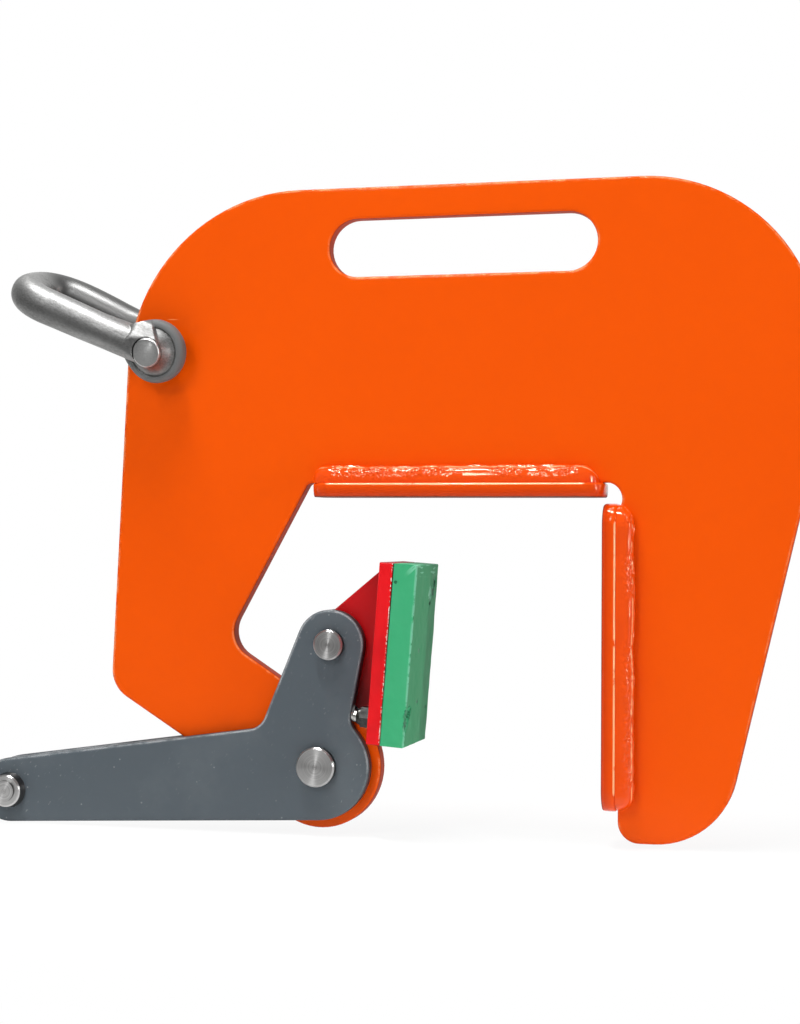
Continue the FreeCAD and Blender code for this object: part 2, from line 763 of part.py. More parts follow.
# A hexagon with a round collar, its seat at the backing plate and its bore on the screw.
def locking_nut(label):
    hexagon = doc.addObject("Part::Prism", f"{label}_hexagon")
    hexagon.Polygon = 6
    tie(hexagon, "Circumradius", "nut_across_flats / 2 / cos(30)")
    tie(hexagon, "Height", "nut_height")
    place(hexagon, "0", back, "0", turn="90", axis=(1, 0, 0))
    collar = turned(f"{label}_collar", [
        ("0", f"{back} - nut_height"),
        ("0", f"{back} - nut_height - nut_collar_height"),
        ("nut_across_flats / 2 - 2 * nut_collar_step", f"{back} - nut_height - nut_collar_height"),
        ("nut_across_flats / 2 - nut_collar_step", f"{back} - nut_height - nut_collar_height / 2"),
        ("nut_across_flats / 2 - nut_collar_step", f"{back} - nut_height"),
    ])
    bore = doc.addObject("Part::Cylinder", f"{label}_bore")
    tie(bore, "Radius", "screw_radius + fixed_gap")
    tie(bore, "Height", "nut_height + nut_collar_height + 2 * overrun")
    place(bore, "0", f"{back} + overrun", "0", turn="90", axis=(1, 0, 0))
    solid = doc.addObject("Part::Fuse", f"{label}_solid")
    solid.Base, solid.Tool = hexagon, collar
    nut = doc.addObject("Part::Cut", label)
    nut.Base, nut.Tool = solid, bore
    return nut


# Shackle pieces are drawn along X about the pin, tipped in the loose hole, then swung up to the left.
def place_shackle(thing, label):
    place(thing, turn=shackle_lean, axis=(1, 0, 0))
    swung = doc.addObject("Part::Compound", label)
    swung.Links = [thing]
    place(swung, shackle_x, "0", "shackle_rise", turn="180 + shackle_swing")
    keep(swung, label)


leg_side = "bow_inside_width / 2 + rod_radius"
eye_face = "bow_inside_width / 2 + eye_thickness"


# The rod tapers from the bow to its ends, which are forged flat to make the eyes.
def shackle_bow():
    bend_at = f"bow_length - rod_radius - ({leg_side})"
    crown = doc.addObject("Part::Torus", "bow_crown")
    tie(crown, "Radius1", leg_side)
    tie(crown, "Radius2", "rod_radius")
    crown.Angle3 = 180
    place(crown, bend_at, "0", "0", turn="0 - 90", axis=(0, 0, 1))
    pieces = [crown]
    for side in (-1, 1):
        leg = doc.addObject("Part::Cone", f"bow_leg_{len(pieces)}")
        tie(leg, "Radius1", "neck_radius")
        tie(leg, "Radius2", "rod_radius")
        tie(leg, "Height", f"{bend_at} - neck_start")
        place(leg, "neck_start", f"{side} * ({leg_side})", "0", turn="90", axis=(0, 1, 0))
        pieces += [leg, bow_eye(f"bow_eye_{len(pieces)}", side)]
    whole = doc.addObject("Part::MultiFuse", "bow_whole")
    whole.Shapes = pieces
    beyond = f"{leg_side} + rod_radius + overrun"
    hole = "shackle_pin_radius + fixed_gap"
    seat = "shackle_collar_radius + shackle_hole_gap"
    bore = turned("bow_bore", [
        ("0", f"0 - ({beyond})"), (hole, f"0 - ({beyond})"), (hole, eye_face), (seat, eye_face),
        (seat, beyond), ("0", beyond),
    ])
    bow = doc.addObject("Part::Cut", "bow_bored")
    bow.Base, bow.Tool = whole, bore
    place_shackle(bow, "shackle_bow")


def bow_eye(label, side):
    body = new_body(label)
    middle = f"({side} * (bow_inside_width + eye_thickness) / 2)"
    disc = new_sketch(body, f"{label}_disc", forward=f"0 - {middle}")
    add_circle(disc, ("0", "0"), "eye_radius")
    pad(body, disc, "eye_thickness", symmetric=True)
    neck = new_sketch(body, f"{label}_neck", forward=f"0 - {middle}")
    end = "eye_radius + neck_blend_radius"
    low, high = "0 - neck_radius", "neck_radius"
    add_polygon(neck, [("0", low), (end, low), (end, high), ("0", high)])
    pad(body, neck, "eye_thickness", symmetric=True)
    round_edges(body, edges_across(body, ("0", "0"), "eye_radius"), "neck_blend_radius")
    half = value("eye_thickness / 2")
    centre = value(middle)
    round_edges(body, face_edges(body, centre - half, centre + half), "eye_round")
    return body


# The screw pin's end stands out of the front eye, and its flat eyed head is behind the back one.
def shackle_pin():
    shank = turned("pin_shank", [
        ("0", f"0 - ({eye_face}) - shackle_pin_end"),
        ("shackle_pin_radius - shackle_pin_chamfer", f"0 - ({eye_face}) - shackle_pin_end"),
        ("shackle_pin_radius", f"shackle_pin_chamfer - ({eye_face}) - shackle_pin_end"),
        ("shackle_pin_radius", eye_face),
        ("shackle_collar_radius", eye_face),
        ("shackle_collar_radius", f"{eye_face} + shackle_collar_height"),
        ("0", f"{eye_face} + shackle_collar_height"),
    ])
    root = f"{eye_face} + shackle_collar_height"
    tab = new_body("pin_tab")
    outline = new_sketch(tab, "tab_outline", "XY_Plane")
    centre = ("0", f"{root} + shackle_tab_reach")
    add_circle(outline, centre, "shackle_tab_radius")
    add_circle(outline, centre, "shackle_tab_hole_radius")
    pad(tab, outline, "shackle_tab_thickness", symmetric=True)
    neck = doc.addObject("Part::Box", "pin_neck")
    tie(neck, "Length", "2 * shackle_tab_hole_radius")
    tie(neck, "Width", "shackle_tab_reach - shackle_tab_hole_radius")
    tie(neck, "Height", "shackle_tab_thickness")
    place(neck, "0 - shackle_tab_hole_radius", root, "0 - shackle_tab_thickness / 2")
    whole = doc.addObject("Part::MultiFuse", "pin_whole")
    whole.Shapes = [shank, tab, neck]
    place_shackle(whole, "shackle_pin")


frame_plate()
bush = tube("nose_bush", "main_pin_radius + running_gap", "main_pin_radius + running_gap + nose_bush_wall",
            f"0 - {front_face}", front_face)
place(bush, pivot_x, "0", pivot_z)
keep(bush, "nose_bush")
bar("seat_bar", seat_left, seat_right, "0", "seat_thickness", "seat_thickness")
bar("contact_bar", "contact_reach", leg_inner, contact_low, contact_high, "contact_thickness")
for name, side in (("front", -1), ("rear", 1)):
    seat_weld(f"seat_weld_{name}", side)
    contact_weld(f"contact_weld_{name}", side)

cheek("lever_front_cheek", cheek_inner)
cheek("lever_rear_cheek", f"0 - ({cheek_outer})")
headed_pin("main_pin", "main_pin_radius", "main_head_rim", pivot_x, pivot_z)
headed_pin("jaw_pin", "jaw_pin_radius", "jaw_head_rim", jaw_x, jaw_z)
chain_pin(chain_x, chain_z)
for name, x, z in (("main", pivot_x, pivot_z), ("jaw", jaw_x, jaw_z), ("chain", chain_x, chain_z)):
    pin_washer(f"{name}_pin_washer", f"{name}_pin_radius", x, z)
    retaining_ring(f"{name}_pin_ring", f"{name}_pin_radius", x, z)

jaw_lug()
jaw_bush = tube("jaw_bush", "jaw_pin_radius + running_gap", "jaw_pin_radius + running_gap + jaw_bush_wall",
                f"0 - {front_face}", front_face)
place_on_jaw(jaw_bush)
keep(jaw_bush, "jaw_bush")
jaw_slab("jaw_back_plate", back, pad_back, "back_edge_round", "screw_radius + screw_hole_gap",
         "back_thickness + overrun")
jaw_slab("friction_pad", pad_back, pad_face, "pad_edge_round", "screw_head_radius + fixed_gap",
         "screw_head_height")
lug_welds()
pad_fasteners()

shackle_bow()
shackle_pin()

doc.recompute()
faults = [item.Label for item in doc.Objects if {"Invalid", "Error"} & set(item.State)]
faults += [node.Label for node in nodes if node.Shape.isNull() or not node.Shape.isValid()]
if faults:
    raise RuntimeError(f"failed: {faults}")
os.makedirs("parts", exist_ok=True)
for node in nodes:
    node.Shape.exportStep(f"parts/{node.Label}.step")
    print(node.Label, len(node.Shape.Solids), round(node.Shape.Volume))
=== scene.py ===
from math import cos, pi, radians, sin

import bmesh
import bpy
import numpy as np
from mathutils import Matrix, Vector


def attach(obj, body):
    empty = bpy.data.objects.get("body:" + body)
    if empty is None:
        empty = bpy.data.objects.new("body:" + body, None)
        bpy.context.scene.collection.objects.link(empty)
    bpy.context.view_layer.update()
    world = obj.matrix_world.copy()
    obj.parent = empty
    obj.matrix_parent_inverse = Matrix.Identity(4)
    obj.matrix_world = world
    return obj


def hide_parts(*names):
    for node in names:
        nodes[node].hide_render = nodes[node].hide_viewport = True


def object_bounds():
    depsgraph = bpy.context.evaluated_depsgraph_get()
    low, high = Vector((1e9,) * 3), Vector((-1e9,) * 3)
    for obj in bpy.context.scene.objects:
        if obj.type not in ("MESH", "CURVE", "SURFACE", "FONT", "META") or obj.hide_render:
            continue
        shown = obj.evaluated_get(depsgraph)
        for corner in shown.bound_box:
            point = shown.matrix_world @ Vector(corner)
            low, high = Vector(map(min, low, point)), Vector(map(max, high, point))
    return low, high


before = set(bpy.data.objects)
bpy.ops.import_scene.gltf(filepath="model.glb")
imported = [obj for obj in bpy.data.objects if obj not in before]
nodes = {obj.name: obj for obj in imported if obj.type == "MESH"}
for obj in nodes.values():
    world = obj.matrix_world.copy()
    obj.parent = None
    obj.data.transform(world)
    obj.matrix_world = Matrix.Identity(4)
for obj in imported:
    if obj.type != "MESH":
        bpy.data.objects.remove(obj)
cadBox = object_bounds()
print("frame loaded:", len(nodes), "nodes")


def addObject(name, data):
    made = bpy.data.objects.new(name, data)
    bpy.context.scene.collection.objects.link(made)
    return made


# Camera: the photograph's angle, for a picture of 800 by 1024
photoCamera = {
    "place": (0.2115, -0.9457, -0.0201),
    "turn": (90.749, -0.305, 14.466),  # tilt, roll and yaw in degrees
    "focalPixels": 1938.4,
    "pictureHeight": 1024,
    "sensorHeight": 36.0,
}


def makeCamera(look):
    data = bpy.data.cameras.new("photoCamera")
    data.sensor_fit = "VERTICAL"
    data.sensor_height = look["sensorHeight"]
    data.lens = look["focalPixels"] * look["sensorHeight"] / look["pictureHeight"]
    camera = addObject("photoCamera", data)
    camera.location = look["place"]
    camera.rotation_euler = [radians(angle) for angle in look["turn"]]
    bpy.context.scene.camera = camera


makeCamera(photoCamera)
print("camera set")


# Shader helpers: an input takes a link where its source is a socket, and a plain setting otherwise
def feed(node, sources):
    for name, source in sources.items():
        if isinstance(source, bpy.types.NodeSocket):
            node.id_data.links.new(source, node.inputs[name])
        else:
            node.inputs[name].default_value = source


def addNode(tree, kind, inputs=None, **settings):
    node = tree.nodes.new(kind)
    for name, setting in settings.items():
        setattr(node, name, setting)
    feed(node, inputs or {})
    return node


# A node in the tree that its first linked input comes from
def join(kind, inputs, **settings):
    linked = [source for source in inputs.values() if isinstance(source, bpy.types.NodeSocket)]
    return addNode(linked[0].id_data, kind, inputs, **settings)


def calc(operation, first, second=0.0, third=0.0, clamp=False):
    inputs = {0: first, 1: second, 2: third}
    return join("ShaderNodeMath", inputs, operation=operation, use_clamp=clamp).outputs[0]


def product(first, *others):
    for other in others:
        first = calc("MULTIPLY", first, other)
    return first


def vectorCalc(operation, *vectors):
    node = join("ShaderNodeVectorMath", dict(enumerate(vectors)), operation=operation)
    return node.outputs["Value" if operation in ("DOT_PRODUCT", "DISTANCE", "LENGTH") else "Vector"]


def ramp(value, low, high, outLow=0.0, outHigh=1.0):
    inputs = {"Value": value, "From Min": low, "From Max": high, "To Min": outLow, "To Max": outHigh}
    return join("ShaderNodeMapRange", inputs, interpolation_type="SMOOTHSTEP").outputs["Result"]


# A band that is 1 at the middle and 0 beyond the width
def band(value, middle, width):
    away = calc("ABSOLUTE", calc("SUBTRACT", value, middle))
    return ramp(away, 0.0, width, 1.0, 0.0)


def mixColour(share, first, second):
    ends = [(*colour, 1.0) if isinstance(colour, tuple) else colour for colour in (first, second)]
    return join("ShaderNodeMix", {0: share, 6: ends[0], 7: ends[1]}, data_type="RGBA").outputs[2]


def turned(place, rotation):
    return join("ShaderNodeMapping", {"Vector": place, "Rotation": rotation}).outputs[0]


def noise(place, scale, detail=3.0, roughness=0.5, stretch=None):
    if stretch:
        place = join("ShaderNodeMapping", {"Vector": place, "Scale": stretch}).outputs[0]
    inputs = {"Vector": place, "Scale": scale, "Detail": detail, "Roughness": roughness}
    return join("ShaderNodeTexNoise", inputs).outputs["Fac"]


# Noise cut into patches: from which noise to which they grow, and from which share to which
def patchNoise(place, cut, **grain):
    return ramp(noise(place, **grain), *cut)


# Noise in rings, from the distance to an axis
def ringNoise(reach, scale, detail):
    inputs = {"W": reach, "Scale": scale, "Detail": detail}
    return join("ShaderNodeTexNoise", inputs, noise_dimensions="1D").outputs["Fac"]


# Small round specks, full within 0.4 of their size: near the middle of a share of the cells of a Voronoi pattern
def specks(place, scale, size, share, strength):
    cells = join("ShaderNodeTexVoronoi", {"Vector": place, "Scale": scale})
    chosen = join("ShaderNodeSeparateColor", {0: cells.outputs["Color"]}).outputs[0]
    spot = ramp(cells.outputs["Distance"], 0.4 * size, size, 1.0, 0.0)
    return product(spot, calc("LESS_THAN", chosen, share), strength)


# Distance along a direction, from a point
def along(place, direction, start=(0.0, 0.0, 0.0)):
    return vectorCalc("DOT_PRODUCT", vectorCalc("SUBTRACT", place, start), direction)


# Distance from an axis parallel to Y
def aboutY(place, centre):
    flat = vectorCalc("MULTIPLY", place, (1.0, 0.0, 1.0))
    return vectorCalc("DISTANCE", flat, (centre[0], 0.0, centre[1]))


def bump(height, distance, base=None, strength=1.0):
    inputs = {"Height": height, "Distance": distance, "Strength": strength}
    if base:
        inputs["Normal"] = base
    return join("ShaderNodeBump", inputs).outputs["Normal"]


# The fine unevenness of a surface, over its rounded edges where a base is given
def grainBump(place, look, base=None):
    return bump(noise(place, **look["grain"]), look["grainDepth"], base)


# Edges: how far the rounded normal has turned, as a cosine, and how far it looks up, where the painted highlight and
# wear show
edgeWearAndHighlight = {"samples": 8, "turn": (0.93, 0.996), "upward": (-0.2, 0.0)}


# Normals rounded over the edges of a plate, as paint and grinding leave them, and a pale line along the edges
# that do not look down: a painted highlight, partly wear
def softEdges(place, radius):
    tree = place.id_data
    rounded = addNode(tree, "ShaderNodeBevel", {"Radius": radius}, samples=edgeWearAndHighlight["samples"]).outputs[0]
    flat = addNode(tree, "ShaderNodeNewGeometry").outputs["Normal"]
    worn = ramp(vectorCalc("DOT_PRODUCT", rounded, flat), *edgeWearAndHighlight["turn"], 1.0, 0.0)
    own = join("ShaderNodeVectorTransform", {0: rounded}, vector_type="NORMAL",
               convert_from="WORLD", convert_to="OBJECT").outputs[0]
    upward = along(own, (0.0, 0.0, 1.0))
    return rounded, product(worn, ramp(upward, *edgeWearAndHighlight["upward"]))


# 1 on the faces that look along a direction, either way, and 0 on the rest
def facing(place, direction, low=0.35, high=0.75):
    normal = addNode(place.id_data, "ShaderNodeTexCoord").outputs["Normal"]
    share = calc("ABSOLUTE", vectorCalc("DOT_PRODUCT", normal, direction))
    return ramp(share, low, high)


# Highlights that fan out across tool rings about Y
def ringFan(shader, fan, quarterTurn=0.25):
    tangent = addNode(shader.id_data, "ShaderNodeTangent", direction_type="RADIAL", axis="Y").outputs[0]
    feed(shader, {"Anisotropic": fan, "Anisotropic Rotation": quarterTurn, "Tangent": tangent})


def newMaterial(name, roughness, gloss=0.5, metallic=0.0):
    material = bpy.data.materials.new(name)
    material.use_nodes = True
    tree = material.node_tree
    shader = tree.nodes["Principled BSDF"]
    feed(shader, {"Roughness": roughness, "Specular IOR Level": gloss, "Metallic": metallic})
    place = addNode(tree, "ShaderNodeTexCoord").outputs["Object"]
    return material, shader, place


def paint(shader, colour, normal, rough=None):
    feed(shader, {"Base Color": colour, "Normal": normal})
    if rough:
        feed(shader, {"Roughness": rough})


# A paint whose colour is clouded with a second one
def cloudedPaint(name, look, second):
    material, shader, place = newMaterial(name, look["roughness"], look["gloss"])
    return material, shader, place, mixColour(patchNoise(place, **look["clouds"]), look["colour"], look[second])


def dress(material, *names):
    for name in names:
        slots = nodes[name].data.materials
        slots.clear()
        slots.append(material)


# Levels at some distances from one level
def offset(level, *distances):
    return [level + distance for distance in distances]


# Studio: a white sweep behind, a dim room in front, and soft lamps
studio = {
    "floorDrop": 0.0005,
    "floorSize": 30.0,
    "floorColour": (0.92, 0.92, 0.92),
    "floorRoughness": 0.9,
    "floorShadowShare": 0.10,
    "shadowReach": (0.16, 0.42),
    "sweepFront": (-0.3, 0.05),  # where the floor that glossy surfaces see goes from dim to white
    "ambient": 0.19,
    "roomGlow": 0.26,  # what glossy surfaces see before the object
    "ceilingGlow": 0.24,
    "ceiling": (0.05, 0.8),  # how far up a ray points where the ceiling begins, and is full
    "backdrop": (0.0, 0.7),  # how far back, for the white behind the object
    # a lamp looks at the origin unless it has an aim; broad ones aren't mirrored, as they would cloud the enamel
    "lamps": {
        "keyLamp": {"place": (-0.9, -1.6, 1.2), "size": (0.7, 0.7), "power": 7.0, "mirrored": False,
                    "aim": (0, 0, -0.02)},
        "frontStrip": {"place": (-0.42, -1.45, 1.05), "size": (0.14, 0.7), "power": 6.4, "mirrored": True},
        "topStrip": {"place": (-0.28, -0.3, 1.5), "size": (0.8, 0.08), "power": 24, "mirrored": True},
        "rightStrip": {"place": (1.2, -0.28, 0.12), "size": (0.05, 0.58), "power": 4.5, "mirrored": True},
        "rearFill": {"place": (0.1, 2.0, 0.5), "size": (0.9, 0.9), "power": 15, "mirrored": False},
    },
}


def makeLamp(name, look):
    data = bpy.data.lights.new(name, "AREA")
    data.shape = "RECTANGLE"
    data.size, data.size_y = look["size"]
    data.energy = look["power"]
    lamp = addObject(name, data)
    lamp.location = look["place"]
    lamp.visible_glossy = look["mirrored"]
    aim = Vector(look.get("aim", (0, 0, 0))) - Vector(look["place"])
    lamp.rotation_euler = aim.to_track_quat("-Z", "Y").to_euler()


# Whether a ray comes from the camera, and whether from a glossy or a clear surface
def rayKinds(tree):
    rays = addNode(tree, "ShaderNodeLightPath").outputs
    return rays["Is Camera Ray"], calc("MAXIMUM", rays["Is Glossy Ray"], rays["Is Transmission Ray"])


def makeWorld(look):
    world = bpy.data.worlds.new("whiteStudio")
    world.use_nodes = True
    bpy.context.scene.world = world
    tree = world.node_tree
    seen, mirrored = rayKinds(tree)
    direction = addNode(tree, "ShaderNodeTexCoord").outputs["Generated"]
    parts = join("ShaderNodeSeparateXYZ", {0: direction}).outputs
    behind = ramp(parts["Y"], *look["backdrop"])
    above = ramp(parts["Z"], *look["ceiling"], look["roomGlow"], look["ceilingGlow"])
    room = calc("SUBTRACT", calc("MAXIMUM", behind, above), look["ambient"])
    soft = calc("MULTIPLY_ADD", mirrored, room, look["ambient"])
    feed(tree.nodes["Background"], {"Color": (1, 1, 1, 1), "Strength": calc("MAXIMUM", seen, soft)})


def makeFloor(look):
    half = look["floorSize"] / 2
    low = cadBox[0].z - look["floorDrop"]
    data = bpy.data.meshes.new("paleFloor")
    corners = [(-half, -half, low), (half, -half, low), (half, half, low), (-half, half, low)]
    data.from_pydata(corners, [], [(0, 1, 2, 3)])
    floor = addObject("paleFloor", data)
    material, shader, place = newMaterial("paleFloorPaint", look["floorRoughness"], 0.0)
    feed(shader, {"Base Color": (*look["floorColour"], 1)})
    seen, mirrored = rayKinds(material.node_tree)
    depth = join("ShaderNodeSeparateXYZ", {0: place}).outputs["Y"]
    sweep = ramp(depth, *look["sweepFront"], look["roomGlow"], 1.0)
    white = join("ShaderNodeEmission", {"Strength": calc("MAXIMUM", seen, sweep)})
    away = vectorCalc("LENGTH", place)
    shadow = ramp(away, *look["shadowReach"], look["floorShadowShare"], 0.0)
    share = calc("MAXIMUM", product(seen, calc("SUBTRACT", 1.0, shadow)), mirrored)
    mix = join("ShaderNodeMixShader", {0: share, 1: shader.outputs[0], 2: white.outputs[0]})
    feed(material.node_tree.nodes["Material Output"], {"Surface": mix.outputs[0]})
    data.materials.append(material)


makeWorld(studio)
makeFloor(studio)
for lampName, lampLook in studio["lamps"].items():
    makeLamp(lampName, lampLook)
bpy.context.scene.view_settings.view_transform = "Standard"
print("studio lit")


# Grid surfaces: quads between neighbouring points of a rows by columns array, whose last column joins its first
def layGrid(name, points, sharpAngle, toe=None):
    rows, columns = points.shape[:2]
    index = np.arange(rows * columns).reshape(rows, columns)
    index = np.hstack([index, index[:, :1]])
    quads = np.stack([index[:-1, :-1], index[:-1, 1:], index[1:, 1:], index[1:, :-1]], -1).reshape(-1, 4)
    mesh = bpy.data.meshes.new(name)
    mesh.from_pydata(points.reshape(-1, 3).tolist(), [], quads.tolist())
    # a share of painted highlight, kept on the points for the paint
    if toe is not None:
        mesh.attributes.new("toe", "FLOAT", "POINT").data.foreach_set("value", toe.astype(np.float32).ravel())
    work = bmesh.new()
    work.from_mesh(mesh)
    bmesh.ops.remove_doubles(work, verts=work.verts, dist=1e-6)
    bmesh.ops.dissolve_degenerate(work, edges=work.edges, dist=1e-7)
    bmesh.ops.recalc_face_normals(work, faces=work.faces)
    work.to_mesh(mesh)
    work.free()
    mesh.shade_smooth()
    mesh.set_sharp_from_angle(angle=radians(sharpAngle))
    return addObject(name, mesh)


def finishPiece(piece, material, body, slot, *replaced):
    piece.data.materials.append(material)
    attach(piece, body)
    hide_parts(*replaced)


def smoothStep(value, low, high):
    share = np.clip((value - low) / (high - low), 0, 1)
    return share * share * (3 - 2 * share)


# Smooth value noise from -1 to 1: random heights on a square lattice, joined with smoothstep
def lumps(across, down, size, seed):
    u, v = np.asarray(across) / size, np.asarray(down) / size
    u, v = np.broadcast_arrays(u - u.min(), v - v.min())
    i, j = np.floor(u).astype(int), np.floor(v).astype(int)
    lattice = np.random.default_rng(seed).uniform(-1, 1, (i.max() + 2, j.max() + 2))
    su, sv = smoothStep(u - i, 0, 1), smoothStep(v - j, 0, 1)
    low = lattice[i, j] * (1 - su) + lattice[i + 1, j] * su
    high = lattice[i, j + 1] * (1 - su) + lattice[i + 1, j + 1] * su
    return low * (1 - sv) + high * sv


# The larger of two heights, with their meeting line rounded over a width
def softMax(first, second, width):
    near = np.clip(0.5 + 0.5 * (first - second) / width, 0, 1)
    return second + (first - second) * near + width * near * (1 - near)


# A bell curve: e to the minus square of the distance over the width
def hump(value, place, width):
    return np.exp(-((value - place) / width) ** 2)


# How far a quarter circle of a radius lies below its top, at a distance inward from its foot
def roundDrop(radius, inward):
    return radius * (1 - np.sqrt(1 - np.clip(1 - inward / radius, 0, 1) ** 2))


# Orange enamel over the frame, dull on its cut walls, which carry painted shade
orangeLook = {
    "colour": (0.83, 0.0880, 0.0013),
    "deepColour": (0.79, 0.080, 0.0012),
    "clouds": dict(scale=9.0, detail=2.0, cut=(0.3, 0.75, 0.0, 0.4)),
    # the cut walls' colour is painted shade
    "wallShadeColour": (0.36, 0.030, 0.005),
    # the pale colour along the edges is a painted highlight, partly wear
    "edgeWearHighlightColour": (0.98, 0.46, 0.20),
    "edgeBreaks": dict(scale=90.0, detail=4.0, roughness=0.7, cut=(0.42, 0.60, 0.0, 0.95)),
    "scratchColour": (0.95, 0.36, 0.12),
    "scratch": {"middle": (-0.1537, 0.0, 0.0921), "upward": (0.04, 0.0, 1.0), "length": 0.0042, "height": 0.00032},
    "streaks": dict(scale=900.0, detail=2.0, stretch=(0.1, 1.0, 1.0), cut=(0.35, 0.55)),
    "glintTint": (1.0, 0.86, 0.62),
    "roughness": 0.13,
    "wallRoughness": 0.6,
    "gloss": 0.2,
    "edge": 0.0024,
    "grain": dict(scale=420.0, detail=2.0),
    "grainDepth": 0.00003,
}


def orangeBase(name, look):
    material, shader, place, colour = cloudedPaint(name, look, "deepColour")
    feed(shader, {"Specular Tint": (*look["glintTint"], 1)})
    return material, shader, place, colour


# A plate's colour, with a pale line of painted highlight and wear along its edges and painted shade on its cut walls,
# the share of its front, and rounded normals
def plateEdges(place, colour, look):
    rounded, edge = softEdges(place, look["edge"])
    # a pale line along the edges: painted highlight, partly wear
    worn = product(edge, patchNoise(place, **look["edgeBreaks"]))
    front = facing(place, (0.0, 1.0, 0.0))
    return mixColour(front, look["wallShadeColour"], mixColour(worn, colour, look["edgeWearHighlightColour"])), front, rounded


def platePaint(look):
    material, shader, place, colour = orangeBase("orangePaint", look)
    scratch = look["scratch"]
    level = band(along(place, scratch["upward"], scratch["middle"]), 0.0, scratch["height"])
    reach = band(along(place, (1.0, 0.0, 0.0), scratch["middle"]), 0.0, scratch["length"])
    worn = product(level, reach, patchNoise(place, **look["streaks"]))
    colour, front, rounded = plateEdges(place, mixColour(worn, colour, look["scratchColour"]), look)
    rough = ramp(front, 0.0, 1.0, look["wallRoughness"], look["roughness"])
    paint(shader, colour, grainBump(place, look, rounded), rough)
    return material


dress(platePaint(orangeLook), "frame_plate")
print("orange enamel on")


# Weld beads: a full, rounded fillet carried along the corner of a bar and the plate
seatBeadLook = {
    "legs": (0.0088, 0.0086),  # out from the plate and up along it
    "tapers": (0.0055, 0.011),  # lengths over which the ends round down into the corner
    "squareness": 3.0,
    "step": 0.0003,
    "arcPoints": 44,
    "runs": (0.0005, 0.016),  # depth and length of the uneven runs
    "lumps": (0.00036, 0.0016),
    "pits": (0.00018, 0.0008),
    "belly": 1.3,  # power by which lumps and pits fade towards both toes
    "patches": 0.011,  # length of the rough patches
    "patchEdge": (-0.35, 0.35),
    "plainStart": (0.007, 0.013),  # smooth up to here, before the first rough patch
    "lip": 0.0005,
    "lipPlace": (1.36, 0.07),  # where round the section the lip stands, and over what width
    "lipBreaks": (0.8, 0.004),  # share and length of its ups and downs
    "toe": (1.10, 0.09),  # where round the section a pale line is painted as a highlight, and over what width
    "sharpAngle": 60,
}
contactBeadLook = dict(
    seatBeadLook, tapers=(0.008, 0.013), legs=(0.0098, 0.0080), squareness=4.0, toe=(1.10, 0.10))
# the bead's enamel is a darker copy of the orange: painted shade
beadPaintLook = dict(
    orangeLook, colour=(0.80, 0.066, 0.0010), roughness=0.06, gloss=0.65, toeColour=(1.0, 0.52, 0.24),
    toeBreaks=dict(scale=140.0, detail=4.0, roughness=0.7, cut=(0.40, 0.54)),
    grain=dict(scale=700.0, detail=2.0), grainDepth=0.00002)
plateHalf = 0.004


# The section is a superellipse between the two legs; runs and lumps swell it, and each end is a half round
def weldBead(name, look, start, end, out, off, seed):
    start, end, out, off = (np.array(item, float) for item in (start, end, out, off))
    length = np.linalg.norm(end - start)
    heading = (end - start) / length
    run = np.linspace(0, length, int(length / look["step"]))[:, None]
    angle = np.linspace(0, pi / 2, look["arcPoints"])[None, :]
    nearStart = np.clip(1 - run / look["tapers"][0], 0, 1)
    nearEnd = np.clip(1 - (length - run) / look["tapers"][1], 0, 1)
    taper = np.sqrt((1 - nearStart ** 2) * (1 - nearEnd ** 2))
    arc = angle * look["legs"][1]

    # a smaller squeeze draws the lumps out round the section
    def uneven(depth, size, seedStep, squeeze=1.0):
        return depth * lumps(run, arc * squeeze, size, seed + seedStep)

    swell = uneven(*look["runs"], 0, squeeze=0.3)
    rough = uneven(*look["lumps"], 1) + uneven(*look["pits"], 2)
    patchy = smoothStep(uneven(1, look["patches"], 3, squeeze=0.2), *look["patchEdge"])
    patchy = patchy * smoothStep(run, *look["plainStart"]) * np.sin(2 * angle) ** look["belly"]
    lip = look["lip"] * hump(angle, *look["lipPlace"]) * (1 + uneven(*look["lipBreaks"], 4, squeeze=0))
    grow = 1 + (swell + rough * patchy + lip) / look["legs"][1]
    power = 2 / look["squareness"]
    outward = look["legs"][0] * np.cos(angle) ** power * grow * taper
    upward = look["legs"][1] * np.sin(angle) ** power * grow * taper
    curve = start + heading * run[..., None] + outward[..., None] * out + upward[..., None] * off
    corner = (start + heading * run)[:, None, :]
    # the share of a painted highlight line near the toe
    toe = np.concatenate([0 * run, taper * hump(angle, *look["toe"])], axis=1)
    return layGrid(name, np.concatenate([corner, curve], axis=1), look["sharpAngle"], toe)


def beadPaint(look):
    material, shader, place, colour = orangeBase("orangePaint_bead", look)
    # a pale line near the toe: a painted highlight
    toe = addNode(place.id_data, "ShaderNodeAttribute", attribute_name="toe").outputs["Fac"]
    worn = product(toe, patchNoise(place, **look["toeBreaks"]))
    paint(shader, mixColour(worn, colour, look["toeColour"]), grainBump(place, look))
    return material


orangeBead = beadPaint(beadPaintLook)
seatRun = (-0.0763, 0.0692, 0.007)  # from x to x at this height
contactRun = (-0.1524, -0.0035, 0.0786)  # from z to z at this distance
for beadSide, outward, beadSeed in (("front", -1, 11), ("rear", 1, 31)):
    face = outward * plateHalf
    ends = [(x, face, seatRun[2]) for x in seatRun[:2]]
    bead = weldBead(f"seatBead_{beadSide}", seatBeadLook, *ends, (0, outward, 0), (0, 0, 1), beadSeed)
    finishPiece(bead, orangeBead, "frame", "orange_paint", f"seat_weld_{beadSide}")
    ends = [(contactRun[2], face, z) for z in contactRun[:2]]
    bead = weldBead(f"contactBead_{beadSide}", contactBeadLook, *ends, (0, outward, 0), (1, 0, 0), beadSeed + 10)
    finishPiece(bead, orangeBead, "frame", "orange_paint", f"contact_weld_{beadSide}")
print("orange beads laid")


